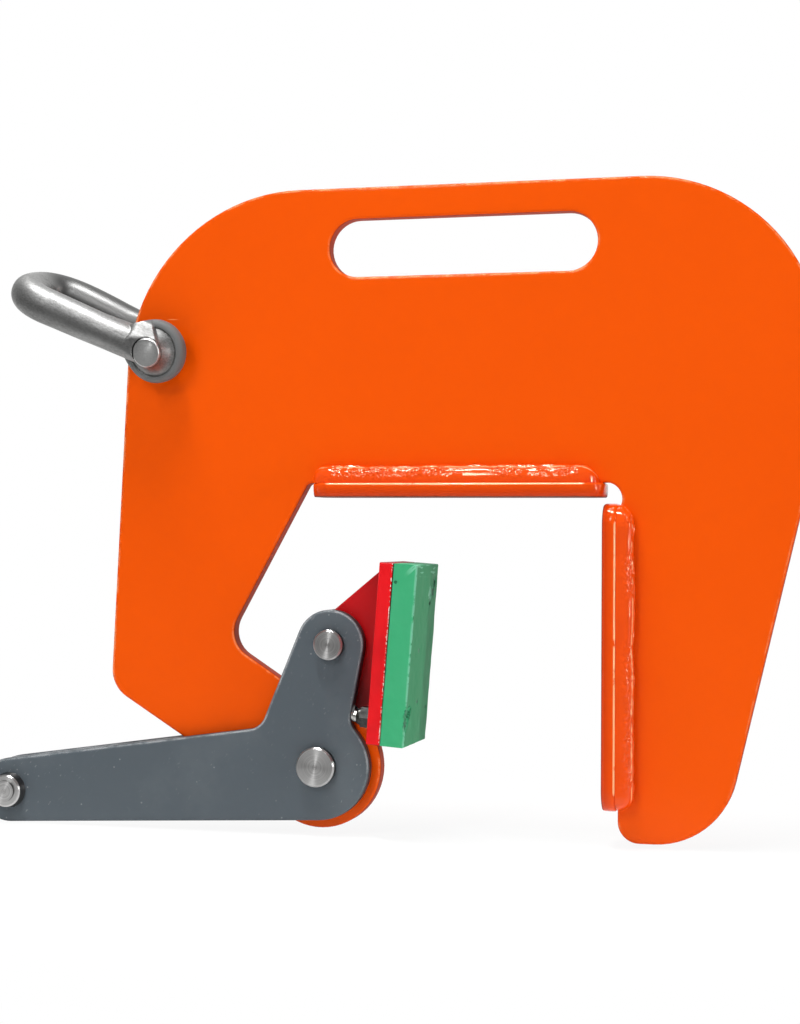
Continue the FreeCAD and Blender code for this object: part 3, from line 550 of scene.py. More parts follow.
# Bars: flats whose long edges are worn round towards the load and stay crisp at the weld
barLook = {
    "halfDepth": 0.015,
    "thickness": 0.007,
    "corner": 0.011,  # radius of the corners in plan
    "crisp": 0.0014,  # edge radius at the weld
    "worn": (0.0026, 0.0052),  # how far the worn edge goes in, and up
    "endRound": 0.0016,
    "crispPoints": 12, "wornPoints": 26, "cornerRows": 20, "middleRows": 30,
    "sharpAngle": 55,
    # painted shade deepening towards the load face
    "paintedShadeColour": (0.58, 0.038, 0.0008),
    "paintedShadeShare": 0.9,
    # rubbed dark on the load face, and painted shade under the bar
    "rubbedAndShadedColour": (0.11, 0.035, 0.020),
    "rubbedAndShadedShare": 0.9,
    "rubbedDepth": (0.0004, 0.0010),
    "rubbedRagged": 0.0006,
    "dullDepth": (0.0004, 0.0025),
    "rubbedRoughness": 0.6,
    "rubbedPatches": dict(scale=150.0),
    # a painted highlight line along the crisp edge
    "barHighlightColour": (1.0, 0.50, 0.24),
    "barHighlightWidth": 0.0003,
    "barHighlightBreaks": dict(scale=120.0, detail=4.0, roughness=0.7, cut=(0.28, 0.46)),
}
# the bars' enamel is a darker copy of the orange: painted shade
barPaintLook = dict(orangeLook, colour=(0.80, 0.070, 0.0010), roughness=0.09, gloss=0.35)


# Half a section runs from the middle of the welded face over its crisp edge, down the worn side to the load face;
# stations shrink it by the plan corner, a quarter circle, and by a rounded end
def barBlock(name, look, low, high, place):
    crisp, worn, rise = look["crisp"], look["worn"], look["thickness"]
    corner, endRound, middle = look["corner"], look["endRound"], look["thickness"] / 2
    quarter = np.linspace(0, pi / 2, look["crispPoints"])
    wearing = np.linspace(0, pi / 2, look["wornPoints"])
    fromEdge = np.concatenate([[0.0], crisp * np.sin(quarter) - crisp, worn[0] * (np.cos(wearing) - 1), [0.0]])
    height = np.concatenate([[rise], rise - crisp + crisp * np.cos(quarter), worn[1] * (1 - np.sin(wearing)), [0.0]])
    inside = np.zeros(len(height))
    inside[[0, -1]] = 1  # the two points on the middle line
    near = np.concatenate([endRound * (1 - np.cos(quarter)), np.linspace(endRound, corner, look["cornerRows"])[1:]])
    straight = np.linspace(low + corner, high - corner, look["middleRows"])[1:-1]
    run = np.concatenate([low + near, straight, high - near[::-1]])[:, None]
    fromEnd = np.minimum(run - low, high - run)
    soft = roundDrop(endRound, fromEnd)
    half = look["halfDepth"] - roundDrop(corner, fromEnd) - soft
    reach = (half + fromEdge) * (1 - inside)
    tall = middle + (height - middle) * (1 - soft / middle)
    side = np.concatenate([reach, -reach[:, ::-1]], axis=1)
    tall = np.concatenate([tall, tall[:, ::-1]], axis=1)
    rings = np.stack([np.broadcast_to(run, side.shape), side, tall], -1)
    caps = rings.mean(axis=1, keepdims=True) * np.ones((1, rings.shape[1], 1))
    rings = np.concatenate([caps[:1], rings, caps[-1:]])
    return layGrid(name, place(rings), look["sharpAngle"])


# The enamel carries painted shade deepening towards the load face, is rubbed dark on it, with painted shade there
# too, and has a painted highlight line along the crisp edge
def barPaint(name, look, loadWay, loadFace):
    material, shader, place, colour = orangeBase(name, barPaintLook)
    inward = along(place, loadWay, loadFace)
    # painted shade, deepening towards the load face
    paintedShade = ramp(inward, 0.0, look["thickness"], look["paintedShadeShare"], 0.0)
    colour = mixColour(paintedShade, colour, look["paintedShadeColour"])
    # rubbed dark on the load face, and painted shade under the bar
    patchy = calc("MULTIPLY_ADD", noise(place, **look["rubbedPatches"]), look["rubbedRagged"], inward)
    rubbedAndShaded = ramp(patchy, *look["rubbedDepth"], look["rubbedAndShadedShare"], 0.0)
    colour = mixColour(rubbedAndShaded, colour, look["rubbedAndShadedColour"])
    # a painted highlight line along the crisp edge
    forward = calc("ABSOLUTE", join("ShaderNodeSeparateXYZ", {0: place}).outputs["Y"])
    # the round's middle lies 0.6 of its radius short of the sharp corner, inward and forward together
    crispEdge = look["thickness"] + look["halfDepth"] - 0.6 * look["crisp"]
    line = band(calc("ADD", inward, forward), crispEdge, look["barHighlightWidth"])
    line = product(line, patchNoise(place, **look["barHighlightBreaks"]))
    colour = mixColour(line, colour, look["barHighlightColour"])
    rough = ramp(inward, *look["dullDepth"], look["rubbedRoughness"], barPaintLook["roughness"])
    paint(shader, colour, grainBump(place, barPaintLook), rough)
    return material


seatEnds = (-0.0766, 0.0722)
contactEnds = (-0.1531, -0.003)
contactFace = 0.0716
bar = barBlock("seatBarBlock", barLook, *seatEnds, lambda rings: rings)
seatPaint = barPaint("orangePaint_seat", barLook, (0.0, 0.0, 1.0), (0.0, 0.0, 0.0))
finishPiece(bar, seatPaint, "frame", "orange_paint", "seat_bar")
bar = barBlock("contactBarBlock", barLook, *contactEnds,
               lambda rings: np.stack([contactFace + rings[..., 2], rings[..., 1], rings[..., 0]], -1))
contactPaint = barPaint("orangePaint_contact", barLook, (1.0, 0.0, 0.0), (contactFace, 0.0, 0.0))
finishPiece(bar, contactPaint, "frame", "orange_paint", "contact_bar")
print("bars made")


# Grey satin enamel on the lever's cheeks
greyLook = {
    "colour": (0.086, 0.106, 0.122),
    "paleColour": (0.106, 0.127, 0.142),
    "clouds": dict(scale=26.0, detail=4.0, roughness=0.6, cut=(0.42, 0.75)),
    "speckColour": (0.40, 0.42, 0.43),
    "dust": dict(scale=330.0, size=0.20, share=0.09, strength=0.4),
    "scuffTurn": (0.0, 0.9, 0.0),
    "scuffs": dict(scale=900.0, stretch=(0.35, 1.0, 1.0), cut=(0.66, 0.74, 0.0, 0.3)),
    "scuffPatches": dict(scale=50.0, cut=(0.42, 0.60)),
    # the cut walls' colour is painted shade
    "wallShadeColour": (0.035, 0.040, 0.045),
    # the pale colour along the edges is a painted highlight, partly wear
    "edgeWearHighlightColour": (0.62, 0.64, 0.65),
    "edgeBreaks": dict(scale=80.0, detail=4.0, roughness=0.7, cut=(0.36, 0.58, 0.15, 0.85)),
    "edge": 0.0024,
    "roughness": 0.36,
    # smears: their cut goes to the least and the most roughness
    "smears": dict(scale=40.0, detail=4.0, roughness=0.6, stretch=(1.0, 1.0, 0.5), cut=(0.3, 0.7, 0.30, 0.44)),
    "grain": dict(scale=500.0, detail=2.0),
    "grainDepth": 0.00004,
    "gloss": 0.3,
}


def greyPaint(look):
    material, shader, place, colour = cloudedPaint("greyPaint", look, "paleColour")
    colour = mixColour(specks(place, **look["dust"]), colour, look["speckColour"])
    scuffs = patchNoise(turned(place, look["scuffTurn"]), **look["scuffs"])
    scuffs = product(scuffs, patchNoise(place, **look["scuffPatches"]))
    colour, _, rounded = plateEdges(place, mixColour(scuffs, colour, look["speckColour"]), look)
    paint(shader, colour, grainBump(place, look, rounded), patchNoise(place, **look["smears"]))
    return material


dress(greyPaint(greyLook), "lever_front_cheek", "lever_rear_cheek")
print("grey enamel on")


# Jaw: its own directions, across the pad and up along it, from the jaw pin
jawFrame = {"pin": (-0.066, 0.0, -0.0742), "tilt": 4.2, "back": 0.025867, "padBack": 0.032867, "padFace": 0.045267,
            "low": -0.0463, "high": 0.0439, "halfWidth": 0.023}
jawAcross = (cos(radians(jawFrame["tilt"])), 0.0, -sin(radians(jawFrame["tilt"])))
jawUp = (sin(radians(jawFrame["tilt"])), 0.0, cos(radians(jawFrame["tilt"])))


def onJaw(across, side, up):
    across, side, up = np.broadcast_arrays(across, side, up)
    laid = across[..., None] * np.array(jawAcross) + up[..., None] * np.array(jawUp)
    return laid + side[..., None] * np.array((0.0, 1.0, 0.0)) + np.array(jawFrame["pin"])


# Distances across and up the jaw, for its paints
def jawWays(place):
    return [along(place, way, jawFrame["pin"]) for way in (jawAcross, jawUp)]


redLook = {
    "colour": (0.76, 0.0060, 0.0105),
    "deepColour": (0.62, 0.0050, 0.0085),
    "clouds": dict(scale=45.0, cut=(0.35, 0.75)),
    # painted shade on the lug behind its backing plate and low under the lever
    "paintedShadeColour": (0.16, 0.003, 0.004),
    "tuck": (-0.0004, 0.0002),  # from the backing plate's back, where the lug's shade ends
    "shadeStart": -0.004,
    "shadeAcross": (0.15, 0.55),  # from there to the backing plate
    "shadeUp": (-0.030, 0.022, 1.0, 0.0),
    # painted shade on the faces that look up
    "topShade": 0.6,
    "flakeColour": (0.82, 0.72, 0.64),
    "flakeEdge": (0.0003, 0.0006),  # place before the pad's back, and width
    "flakes": dict(scale=640.0, detail=4.0, roughness=0.7),
    "flakePull": 0.22,  # more flakes towards the edge
    "flakeCut": (0.71, 0.77),
    # painted shade in the gap along the pad
    "gapShadeColour": (0.03, 0.004, 0.004),
    "gapWidth": 0.0005,
    "gapBreaks": dict(scale=300.0, detail=4.0, roughness=0.7, cut=(0.54, 0.60)),
    "dust": dict(scale=300.0, size=0.2, share=0.06, strength=0.5),
    "grain": dict(scale=380.0, detail=2.0),
    "grainDepth": 0.00005,
    "edge": 0.0006,
    "roughness": 0.27,
    "topRoughness": 0.55,
    "gloss": 0.25,
}


def redPaint(look):
    material, shader, place, colour = cloudedPaint("redPaint", look, "deepColour")
    across, up = jawWays(place)
    # painted shade on the lug, tucked in behind its backing plate, deeper towards the plate and low down
    tucked = ramp(across, *offset(jawFrame["back"], *look["tuck"]), 1.0, 0.0)
    depth = ramp(across, look["shadeStart"], jawFrame["back"], *look["shadeAcross"])
    depth = calc("MAXIMUM", depth, ramp(up, *look["shadeUp"]))
    colour = mixColour(product(tucked, depth), colour, look["paintedShadeColour"])
    # enamel chipped off along the pad, and painted shade in the gap between
    before, width = look["flakeEdge"]
    edge = band(across, jawFrame["padBack"] - before, width)
    torn = calc("MULTIPLY_ADD", edge, look["flakePull"], noise(place, **look["flakes"]))
    flakes = product(ramp(torn, *look["flakeCut"]), edge)
    colour = mixColour(flakes, colour, look["flakeColour"])
    gapShades = band(across, jawFrame["padBack"], look["gapWidth"])
    gapShades = product(patchNoise(place, **look["gapBreaks"]), gapShades)
    colour = mixColour(gapShades, colour, look["gapShadeColour"])
    colour = mixColour(specks(place, **look["dust"]), colour, look["flakeColour"])
    # painted shade on the faces that look up
    top = facing(place, jawUp)
    colour = mixColour(product(top, look["topShade"]), colour, look["paintedShadeColour"])
    rough = ramp(top, 0.0, 1.0, look["roughness"], look["topRoughness"])
    paint(shader, colour, grainBump(place, look, softEdges(place, look["edge"])[0]), rough)
    return material


red = redPaint(redLook)
dress(red, "jaw_lug", "jaw_back_plate")
lugBeadLook = dict(seatBeadLook, legs=(0.004, 0.004), tapers=(0.005, 0.005), arcPoints=16, runs=(0.0004, 0.010),
                   lumps=(0.00022, 0.0022), pits=(0.0001, 0.0009), lip=0.0)
lugRun = (-0.040, 0.039)
lugSeed = 50
backwards = [-part for part in jawAcross]
for lugTurn, lugSide in enumerate((-1, 1)):
    ends = [onJaw(jawFrame["back"], lugSide * plateHalf, up) for up in lugRun]
    bead = weldBead(f"lugBead_{lugTurn}", lugBeadLook, *ends, (0, lugSide, 0), backwards, lugSeed + lugTurn)
    finishPiece(bead, red, "jaw", "red_paint", "jaw_lug_welds")
print("red enamel on")


# Friction pad: a slab with soft uneven edges, chips and scuffs
padLook = {
    "columns": 720, "flatRings": 46, "edgeRings": 9, "sideRings": 20,
    "sharpAngle": 70,
    "edgeRound": 0.0008,
    "waver": ((0.011, 71, 1.0), (0.0035, 72, 0.5)),  # lengths, seeds and shares
    "waverDepth": 0.00014, "waverShift": 0.6,
    "waverSide": 0.9, "waverBack": 0.003,  # starts at this share of the half width, and this far from the back
    "ragged": 0.35, "raggedLength": 0.6, "raggedSeed": 73,  # of the dents, as shares of their radii
    "dentSlope": (0.35, 1.0),
    "dentEdge": (-0.002, -0.0004),  # from the slab's faces, over which a dent grows
    # dents: middle and radii, each across, aside and up in the jaw's directions, depth, and tone from dark to pale
    "dents": (
        ((0.0452, -0.0185, -0.0296), (0.0022, 0.0062, 0.0042), 0.0013, 0.0),
        ((0.0452, -0.0175, -0.0292), (0.0022, 0.0030, 0.0020), 0.0002, 0.45),
        ((0.0452, -0.0210, -0.0350), (0.0018, 0.0040, 0.0036), 0.0008, 0.1),
        ((0.0452, -0.0224, -0.0372), (0.0014, 0.0020, 0.0026), 0.0005, 1.0),
        ((0.0453, 0.0160, 0.0346), (0.0012, 0.0036, 0.0032), 0.0006, 0.0),
        ((0.0453, 0.0090, 0.0293), (0.0010, 0.0042, 0.0040), 0.0003, 1.0),
        ((0.0453, 0.0140, 0.0300), (0.0010, 0.0030, 0.0030), 0.0003, 0.1),
        ((0.0453, 0.0095, 0.0240), (0.0009, 0.0024, 0.0012), 0.0004, 0.0),
        ((0.0350, -0.0230, 0.0347), (0.0011, 0.0010, 0.0011), 0.0005, 0.0),
        ((0.0453, 0.0180, -0.0290), (0.0008, 0.0028, 0.0013), 0.0003, 0.1),
        ((0.0453, -0.0020, -0.0250), (0.0008, 0.0022, 0.0012), 0.0003, 0.2),
        ((0.0453, -0.0060, 0.0010), (0.0008, 0.0024, 0.0014), 0.0002, 0.3),
    ),
    "colour": (0.046, 0.385, 0.172),
    "clouds": dict(scale=60.0, detail=4.0, roughness=0.6, stretch=(1.0, 1.0, 0.6), cut=(0.35, 0.8, 0.0, 0.10)),
    "faceShadeColour": (0.0285, 0.27, 0.108),  # painted shade on the contact face
    "faceEdge": (-0.0005, -0.0001),
    "paleColour": (0.22, 0.60, 0.40),
    "paleEdge": ((-0.0013, -0.0003), (-0.0018, -0.0005)),  # from the face, and from the sides
    "flecks": dict(scale=330.0, roughness=0.6, cut=(0.30, 0.52, 0.0, 0.8)),
    "darkColour": (0.008, 0.075, 0.032),
    "torn": dict(scale=700.0, roughness=0.6),
    "tornPull": 1.5,
    "dentCut": (1.25, 1.75, 0.9, 0.0),
    "scratchTurn": (0.0, 0.8, 0.0),
    "scratches": dict(scale=700.0, detail=2.0, stretch=(0.1, 0.1, 1.0), cut=(0.56, 0.62, 0.0, 0.7)),
    "scratchCorner": ((0.038, 0.044), (0.037, 0.041)),  # across and up
    # painted shade in the gap behind the pad
    "gapShadeColour": (0.006, 0.010, 0.008),
    "gapEdge": (0.0003, 0.0008),  # from the pad's back
    "gapUp": (-0.040, 0.030, 0.35, 1.0),
    "grain": dict(scale=300.0, detail=4.0, roughness=0.6),
    "grainDepth": 0.0001,
    "roughness": 0.52,
    "gloss": 0.12,
}


# Rings of a rounded rectangle run from the middle of the back, out to its edge, over the side and in to the
# middle of the face; the edge follows a quarter circle of the edge radius
def frictionPad(look):
    half, low, high = jawFrame["halfWidth"], jawFrame["low"], jawFrame["high"]
    back, face, bend = jawFrame["padBack"], jawFrame["padFace"], look["edgeRound"]
    centre, tall = (low + high) / 2, (high - low) / 2
    turn = np.linspace(0, 2 * pi, look["columns"], endpoint=False)
    reach = 1 / np.maximum(np.abs(np.cos(turn)), np.abs(np.sin(turn)))
    boxSide, boxUp = np.cos(turn) * reach, np.sin(turn) * reach  # a square from -1 to 1
    quarter = np.linspace(0, pi / 2, look["edgeRings"])
    inward = np.linspace(0, 1, look["flatRings"])
    sideRun = np.linspace(0, 1, look["sideRings"] + 2)[1:-1]
    level = 0 * inward
    # inset from the outline, share towards the middle, and distance across, for each ring
    inset = np.concatenate([level + bend, bend * (1 - np.sin(quarter)), 0 * sideRun,
                            bend * (1 - np.cos(quarter)), level + bend])[:, None]
    share = np.concatenate([inward[::-1], 0 * quarter, 0 * sideRun, 0 * quarter, inward])[:, None]
    across = np.concatenate([level + back, back + bend * (1 - np.cos(quarter)),
                             back + bend + (face - back - 2 * bend) * sideRun,
                             face - bend * (1 - np.sin(quarter)), level + face])
    side = (half - inset) * (1 - share) * boxSide
    up = centre + (tall - inset) * (1 - share) * boxUp
    across = np.repeat(across[:, None], look["columns"], axis=1)
    waver = sum(part * lumps(up, side + across, length, seed) for length, seed, part in look["waver"])
    shrink = look["waverDepth"] * (waver - look["waverShift"])
    side = side + np.sign(side) * shrink * smoothStep(np.abs(side), half * look["waverSide"], half)
    across = across + shrink * smoothStep(across, back + look["waverBack"], face)
    for middle, radii, depth, _ in look["dents"]:
        parts = zip((across, side, up), middle, radii)
        away = np.sqrt(sum(((part - spot) / radius) ** 2 for part, spot, radius in parts))
        uneven = lumps(up, side + across, radii[2] * look["raggedLength"], look["raggedSeed"])
        dent = depth * (1 - smoothStep(away + look["ragged"] * uneven, *look["dentSlope"]))
        across = across - dent * smoothStep(across, *offset(face, *look["dentEdge"]))
        side = side - np.sign(side) * dent * smoothStep(np.abs(side), *offset(half, *look["dentEdge"]))
    return layGrid("frictionPadBlock", onJaw(across, side, up), look["sharpAngle"])


def greenPad(look):
    material, shader, place, colour = cloudedPaint("greenPad", look, "paleColour")
    back, face, half = jawFrame["padBack"], jawFrame["padFace"], jawFrame["halfWidth"]
    across, up = jawWays(place)
    side = along(place, (0.0, 1.0, 0.0))
    laid = join("ShaderNodeCombineXYZ", {0: across, 1: side, 2: up}).outputs[0]
    # painted shade on the contact face
    colour = mixColour(ramp(across, *offset(face, *look["faceEdge"])), colour, look["faceShadeColour"])
    # pale flecks along the face's upright edges
    nearFace = ramp(across, *offset(face, *look["paleEdge"][0]))
    nearSide = ramp(calc("ABSOLUTE", side), *offset(half, *look["paleEdge"][1]))
    flecks = product(nearFace, nearSide, patchNoise(place, **look["flecks"]))
    colour = mixColour(flecks, colour, look["paleColour"])
    torn = noise(place, **look["torn"])
    for middle, radii, _, tone in look["dents"]:
        shrunk = vectorCalc("DIVIDE", vectorCalc("SUBTRACT", laid, middle), radii)
        away = vectorCalc("LENGTH", shrunk)
        hollow = ramp(calc("MULTIPLY_ADD", torn, look["tornPull"], away), *look["dentCut"])
        shade = [dark * (1 - tone) + pale * tone for dark, pale in zip(look["darkColour"], look["paleColour"])]
        colour = mixColour(hollow, colour, tuple(shade))
    scratches = patchNoise(turned(laid, look["scratchTurn"]), **look["scratches"])
    corner = [ramp(way, *edge) for way, edge in zip((across, up), look["scratchCorner"])]
    colour = mixColour(product(scratches, product(*corner)), colour, look["paleColour"])
    # painted shade in the gap behind the pad, fuller higher up
    gapShade = ramp(across, *offset(back, *look["gapEdge"]), 1.0, 0.0)
    gapShade = product(gapShade, ramp(up, *look["gapUp"]))
    paint(shader, mixColour(gapShade, colour, look["gapShadeColour"]), grainBump(place, look))
    return material


padBlock = frictionPad(padLook)
finishPiece(padBlock, greenPad(padLook), "jaw", "green_pad", "friction_pad")
print("friction pad made")


# Turned steel: tool rings about each pin's axis, which stretch the highlights into fans
steelLook = {
    # the sides' colour is painted shade
    "colour": (0.74, 0.735, 0.725), "darkColour": (0.50, 0.495, 0.49), "sideShadeColour": (0.10, 0.10, 0.10),
    "front": (0.1, 0.5),  # how far a surface looks along the axis, from side to end face
    "cuts": (1400.0, 4.0),  # scale and detail
    "cutRange": (0.3, 0.7),
    "stains": dict(scale=160.0, cut=(0.3, 0.7, 0.5, 1.0)),
    "rings": (4200.0, 2.0),
    "ringDepth": 0.00002,
    "roughness": 0.31, "fan": 0.88,
}
pinAxes = {"main_pin": (-0.0723, -0.1356), "jaw_pin": (-0.066, -0.0742), "chain_pin": (-0.2407, -0.1535)}
sleeves = {"nose": ("nose_bush", "main_pin"), "jaw": ("jaw_bush", "jaw_pin"), "tail": ("chain_spacer", "chain_pin")}


def turnedSteel(name, look, centre):
    material, shader, place = newMaterial(name, look["roughness"], metallic=1.0)
    radius = aboutY(place, centre)
    cuts = ramp(ringNoise(radius, *look["cuts"]), *look["cutRange"])
    share = product(cuts, patchNoise(place, **look["stains"]))
    colour = mixColour(share, look["colour"], look["darkColour"])
    # painted shade on the sides, which look away from the axis
    front = facing(place, (0.0, 1.0, 0.0), *look["front"])
    rings = bump(ringNoise(radius, *look["rings"]), look["ringDepth"])
    paint(shader, mixColour(front, look["sideShadeColour"], colour), rings)
    ringFan(shader, look["fan"])
    return material


for pinName, pinAxis in pinAxes.items():
    dress(turnedSteel(f"turnedSteel_{pinName}", steelLook, pinAxis), pinName)
for sleevePlace, (sleeveName, pinName) in sleeves.items():
    dress(turnedSteel(f"turnedSteel_{sleevePlace}", steelLook, pinAxes[pinName]), sleeveName)

zincLook = {
    "colour": (0.085, 0.085, 0.082), "darkColour": (0.035, 0.035, 0.034), "roughness": 0.32,
    "grime": dict(scale=240.0, detail=4.0, roughness=0.6, cut=(0.35, 0.7)),
    "grain": dict(scale=900.0, detail=2.0), "grainDepth": 0.00004,
}
brightLook = dict(zincLook, colour=(0.72, 0.71, 0.69), darkColour=(0.5, 0.49, 0.48), roughness=0.22)


def zincSteel(name, look):
    material, shader, place = newMaterial(name, look["roughness"], metallic=1.0)
    colour = mixColour(patchNoise(place, **look["grime"]), look["colour"], look["darkColour"])
    paint(shader, colour, grainBump(place, look))
    return material


dress(zincSteel("zincSteel", zincLook), "pad_nuts", "main_pin_washer", "jaw_pin_washer", "chain_pin_washer",
      "main_pin_ring", "jaw_pin_ring", "chain_pin_ring")
dress(zincSteel("brightStud", brightLook), "pad_screws")
print("pins and fasteners turned")


# Shackle: a forged bow whose ends are flattened into eyes
shackleFrame = {"hole": (-0.158, 0.0, 0.0771), "swing": 23.1, "lean": -10.06}
bowLook = {
    "rod": 0.0093, "neck": 0.0082, "inside": 0.010, "bend": 0.0629, "side": 0.0193,
    "rodStart": (0.012, 0.034),  # along the leg, where the eye begins to turn into the rod, and has done so
    "eyeRadius": 0.0163, "eyeThickness": 0.008, "eyeEdge": 0.0030,
    "shoulder": 0.0065,  # rounding where the eye's circle meets the rod
    "pinRadius": 0.0074, "pinEnd": 0.0263,
    "pinGap": (0.0001, 0.0007), "pinSink": 0.002,  # where the boss falls away beneath the pin
    "spotFace": 0.0123,
    "groove": (0.0005, 0.0004),  # depth and width, round the boss
    "flare": 0.0062, "flarePower": 1.7,  # height of the dished boss round the pin, above the eye
    "flankFoot": 0.0142, "flankEnd": (0.010, 0.020),
    "leafTop": -0.0003, "leafRise": (0.25, 0.004),  # from the pin's end; slope of the raised end, and its start
    "leafRound": 0.0012,
    "leafSlope": 1.23,  # the raised end's edge, past the pin's upper right
    "leafBend": 0.0048, "leafCurve": 60, "leafStart": 0.0064, "leafStep": 0.0007,
    "crownSquareness": (2.1, 2.6),  # front and rear
    "waver": (0.00016, 0.009), "waverSeed": 91,
    "tipRows": 60, "eyeRows": 130, "legRows": 22, "crownRows": 80,
    "faceColumns": 150, "backColumns": 40, "wallColumns": 12,
    "rearRise": 0.0016, "riseStart": 0.02,  # the rear leg stands a little higher at the crown
    "sharpAngle": 50,
}


def onShackle(along, side, up):
    lean, swing = radians(shackleFrame["lean"]), radians(180 + shackleFrame["swing"])
    y = side * cos(lean) + up * sin(lean)
    z = side * sin(lean) - up * cos(lean)
    x = along * cos(swing) + z * sin(swing)
    z = z * cos(swing) - along * sin(swing)
    return np.stack([x, y, z], -1) + np.array(shackleFrame["hole"])


# Half a bow: at each distance along the leg the width goes from the eye's circle to the rod's, and two height fields
# over it, outer and inner, go from the flat eye to the round rod. On the outer one the rod's crest runs on to the pin
# as a raised end, cut off along a slanting edge, and a dished boss stands round the pin.
def bowHalf(look, sign):
    eye, bendAt, side, inside = look["eyeRadius"], look["bend"], look["side"], look["inside"]
    eyeTop, pin, spot, rodAt = inside + look["eyeThickness"], look["pinRadius"], look["spotFace"], look["rodStart"][1]
    tip = -eye * np.cos(np.linspace(0, pi / 2, look["tipRows"]))
    a = np.concatenate([tip, np.linspace(0, rodAt, look["eyeRows"])[1:],
                        np.linspace(rodAt, bendAt, look["legRows"])[1:]])[:, None]
    toRod = smoothStep(a, *look["rodStart"])
    rod = look["neck"] + (look["rod"] - look["neck"]) * np.clip(a / bendAt, 0, 1)
    disc = np.sqrt(np.clip(eye ** 2 - a ** 2, 0, None))
    wide = np.where(a > 0, softMax(disc, rod, look["shoulder"]), disc)
    wide = wide * (1 - toRod) + rod * toRod

    def across(count):
        return wide * np.sin(np.linspace(-pi / 2, pi / 2, count))[None, :]

    def roundness(b):
        return np.sqrt(np.clip(rod ** 2 - b ** 2, 0, None))

    def edgeDrop(b):
        return roundDrop(look["eyeEdge"], np.where(a < 0, eye - np.sqrt(a ** 2 + b ** 2), wide - np.abs(b)))

    b = across(look["faceColumns"])
    reach = np.sqrt(a ** 2 + b ** 2)
    dish = np.clip((spot - reach) / (spot - pin), 0, 1)
    boss = eyeTop - edgeDrop(b) + look["flare"] * dish ** look["flarePower"]
    boss = boss - look["groove"][0] * hump(reach, spot, look["groove"][1])
    flank = eyeTop + (look["flankFoot"] - b) * (1 - smoothStep(a, *look["flankEnd"]))
    crest = np.where(np.abs(b) < rod, side + roundness(b), 0)
    raised = np.maximum(crest, np.where(b > 0, flank, 0))
    slope, slopeStart = look["leafRise"]
    level = look["pinEnd"] + look["leafTop"] + slope * np.clip(a - slopeStart, 0, None)
    raised = -softMax(-raised, -np.broadcast_to(level, raised.shape), look["leafRound"])
    past = b - look["leafBend"]
    leafEdge = np.where(past > 0, look["leafSlope"] * past, look["leafCurve"] * past ** 2) - look["leafStart"]
    leaf = smoothStep(a - leafEdge, 0.0, look["leafStep"])
    outer = np.where(raised > boss, boss + (raised - boss) * leaf, boss)
    inPin = 1 - smoothStep(reach, *offset(pin, *look["pinGap"]))
    outer = outer - inPin * np.clip(outer - look["pinEnd"] + look["pinSink"], 0, None)
    outer = outer * (1 - toRod) + (side + roundness(b)) * toRod
    outer = outer + look["waver"][0] * lumps(a, b, look["waver"][1], look["waverSeed"] + sign)
    bBack = across(look["backColumns"])[:, ::-1]
    inner = (inside + edgeDrop(bBack)) * (1 - toRod) + (side - roundness(bBack)) * toRod
    wall = np.linspace(0, 1, look["wallColumns"] + 2)[None, 1:-1]
    topWall = outer[:, -1:] * (1 - wall) + inner[:, :1] * wall
    lowWall = inner[:, -1:] * (1 - wall) + outer[:, :1] * wall
    y = np.concatenate([outer, topWall, inner, lowWall], axis=1)
    b = np.concatenate([b, b[:, -1:] + 0 * wall, bBack, b[:, :1] + 0 * wall], axis=1)
    return np.broadcast_to(a, b.shape), sign * y, b


# The crown carries the rod's section round from leg to leg, along a superellipse that is squarer at the rear
def bowPoints(look):
    frontA, frontSide, frontUp = bowHalf(look, -1)
    rearA, rearSide, rearUp = bowHalf(look, 1)
    rearUp = rearUp + look["rearRise"] * smoothStep(rearA, look["riseStart"], look["bend"])
    arc = np.linspace(-pi / 2, pi / 2, look["crownRows"])[1:-1, None]
    power = np.where(arc < 0, *look["crownSquareness"])
    stretch = (np.abs(np.cos(arc)) ** power + np.abs(np.sin(arc)) ** power) ** (-1 / power)
    reach = look["side"] * stretch + (rearSide[-1:] - look["side"])
    crownA, crownSide = look["bend"] + reach * np.cos(arc), reach * np.sin(arc)
    crownUp = rearUp[-1:] - look["rearRise"] * (0.5 - 0.5 * np.sin(arc))
    rows = [np.concatenate(part) for part in ((frontA, crownA, rearA[::-1]), (frontSide, crownSide, rearSide[::-1]),
                                              (frontUp, crownUp, rearUp[::-1]))]
    return onShackle(*rows)


shackleAlong = (-cos(radians(shackleFrame["swing"])), 0.0, sin(radians(shackleFrame["swing"])))
shackleUp = tuple(float(part) for part in onShackle(0.0, 0.0, 1.0) - np.array(shackleFrame["hole"]))
shackleSide = tuple(float(part) for part in onShackle(0.0, 1.0, 0.0) - np.array(shackleFrame["hole"]))
forgedLook = {
    "colour": (0.37, 0.37, 0.365), "darkColour": (0.13, 0.13, 0.128),
    "worn": dict(scale=70.0, detail=5.0, roughness=0.65, stretch=(0.3, 1.0, 1.0)),
    "wornCut": (0.35, 0.72, 0.0, 0.5),
    "spangle": dict(scale=1100.0, detail=4.0, roughness=0.7, stretch=(0.6, 1.0, 1.0), cut=(0.38, 0.64, -0.12, 0.26)),
    # painted shade on the rear leg
    "rearShade": (-0.002, 0.014, 0.0, 0.95),
    "rimColour": (0.135, 0.14, 0.14),
    "rimStart": (0.0003, 0.0009),  # from the spot face's edge
    "rimEnd": (0.0168, 0.0175), "rimTop": (0.0185, 0.0195),
    "rimRoughness": 0.15,
    "grain": dict(scale=800.0, roughness=0.6, stretch=(0.5, 1.0, 1.0)),
    "grainDepth": 0.00007,
    "rings": (2600.0, 2.0), "ringDepth": 0.00005, "ringEnd": (0.0, 0.0004),
    "dome": 0.0015,  # crowning of the pin's end
    "roughness": 0.48, "roughSpread": (-0.06, 0.12), "roughCut": (0.3, 0.75),
    "fan": 0.0,
}
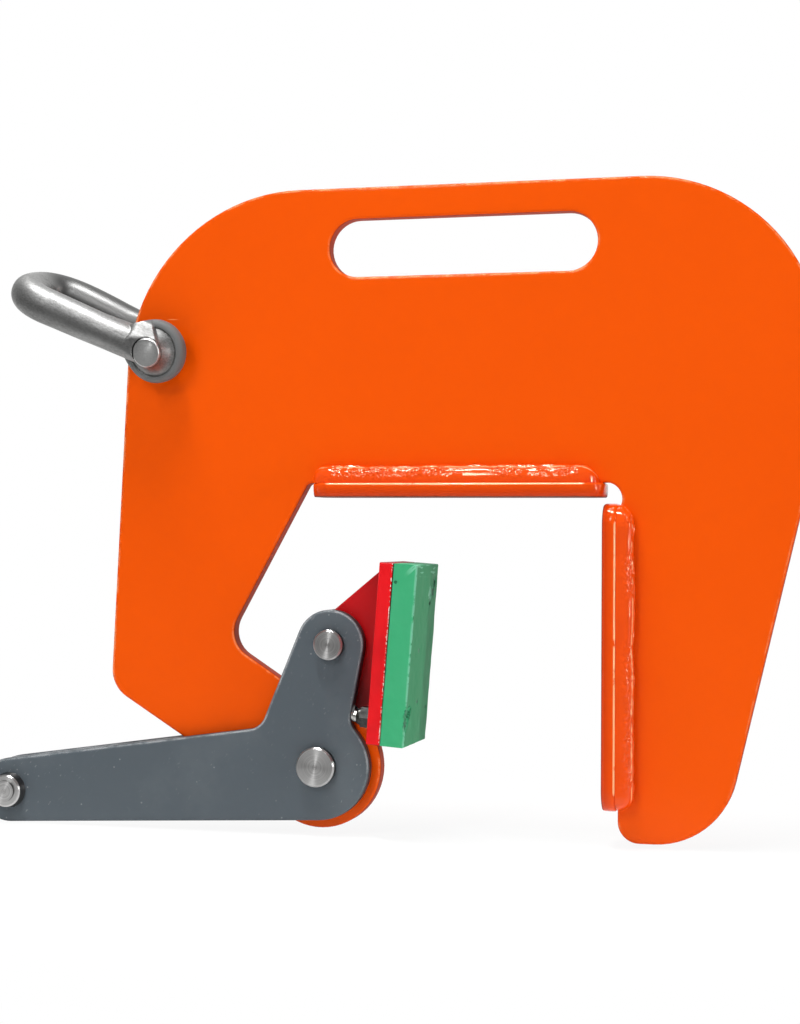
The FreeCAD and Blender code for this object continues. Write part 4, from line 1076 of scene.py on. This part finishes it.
pinEndLook = dict(forgedLook, colour=(0.66, 0.66, 0.65), darkColour=(0.46, 0.46, 0.455), roughness=0.36, fan=0.7)


# Satin forged steel, dull on the eyes' rims, with painted shade on the rear leg, turned rings and a crown on the
# pin's end
def shackleSteel(name, look):
    material, shader, place = newMaterial(name, look["roughness"], metallic=1.0)
    pin, spot, hole = bowLook["pinRadius"], bowLook["spotFace"], shackleFrame["hole"]
    a, b, side = (along(place, way, hole) for way in (shackleAlong, shackleUp, shackleSide))
    laid = join("ShaderNodeCombineXYZ", {0: a, 1: b, 2: side}).outputs[0]
    reach = vectorCalc("LENGTH", join("ShaderNodeCombineXYZ", {0: a, 1: b}).outputs[0])
    worn = noise(laid, **look["worn"])
    spangle = patchNoise(laid, **look["spangle"])
    mottleAndRearShade = calc("ADD", ramp(worn, *look["wornCut"]), spangle, clamp=True)
    # painted shade on the rear leg
    mottleAndRearShade = calc("MAXIMUM", mottleAndRearShade, ramp(side, *look["rearShade"]))
    colour = mixColour(mottleAndRearShade, look["colour"], look["darkColour"])
    rim = product(ramp(reach, *offset(spot, *look["rimStart"])), ramp(reach, *look["rimEnd"], 1.0, 0.0),
                  ramp(calc("ABSOLUTE", side), *look["rimTop"], 1.0, 0.0))
    nearPin = ramp(reach, *offset(pin, *look["ringEnd"]), 1.0, 0.0)
    normal = bump(ringNoise(reach, *look["rings"]), look["ringDepth"], strength=nearPin)
    dome = ramp(reach, 0.0, 2 * pin, 1.0, 0.0)
    normal = bump(product(dome, nearPin), look["dome"], normal)
    rough = ramp(worn, *look["roughCut"], *offset(look["roughness"], *look["roughSpread"]))
    rough = calc("MULTIPLY_ADD", rim, look["rimRoughness"], rough)
    paint(shader, mixColour(rim, colour, look["rimColour"]), grainBump(laid, look, normal), rough)
    feed(shader, {"Metallic": calc("SUBTRACT", 1.0, rim)})
    if look["fan"]:
        ringFan(shader, look["fan"])
    return material


bow = layGrid("shackleBowForged", bowPoints(bowLook), bowLook["sharpAngle"])
finishPiece(bow, shackleSteel("shackleSteel", forgedLook), "shackle", "shackle_steel", "shackle_bow")
dress(shackleSteel("shacklePinSteel", pinEndLook), "shackle_pin")
print("shackle forged")
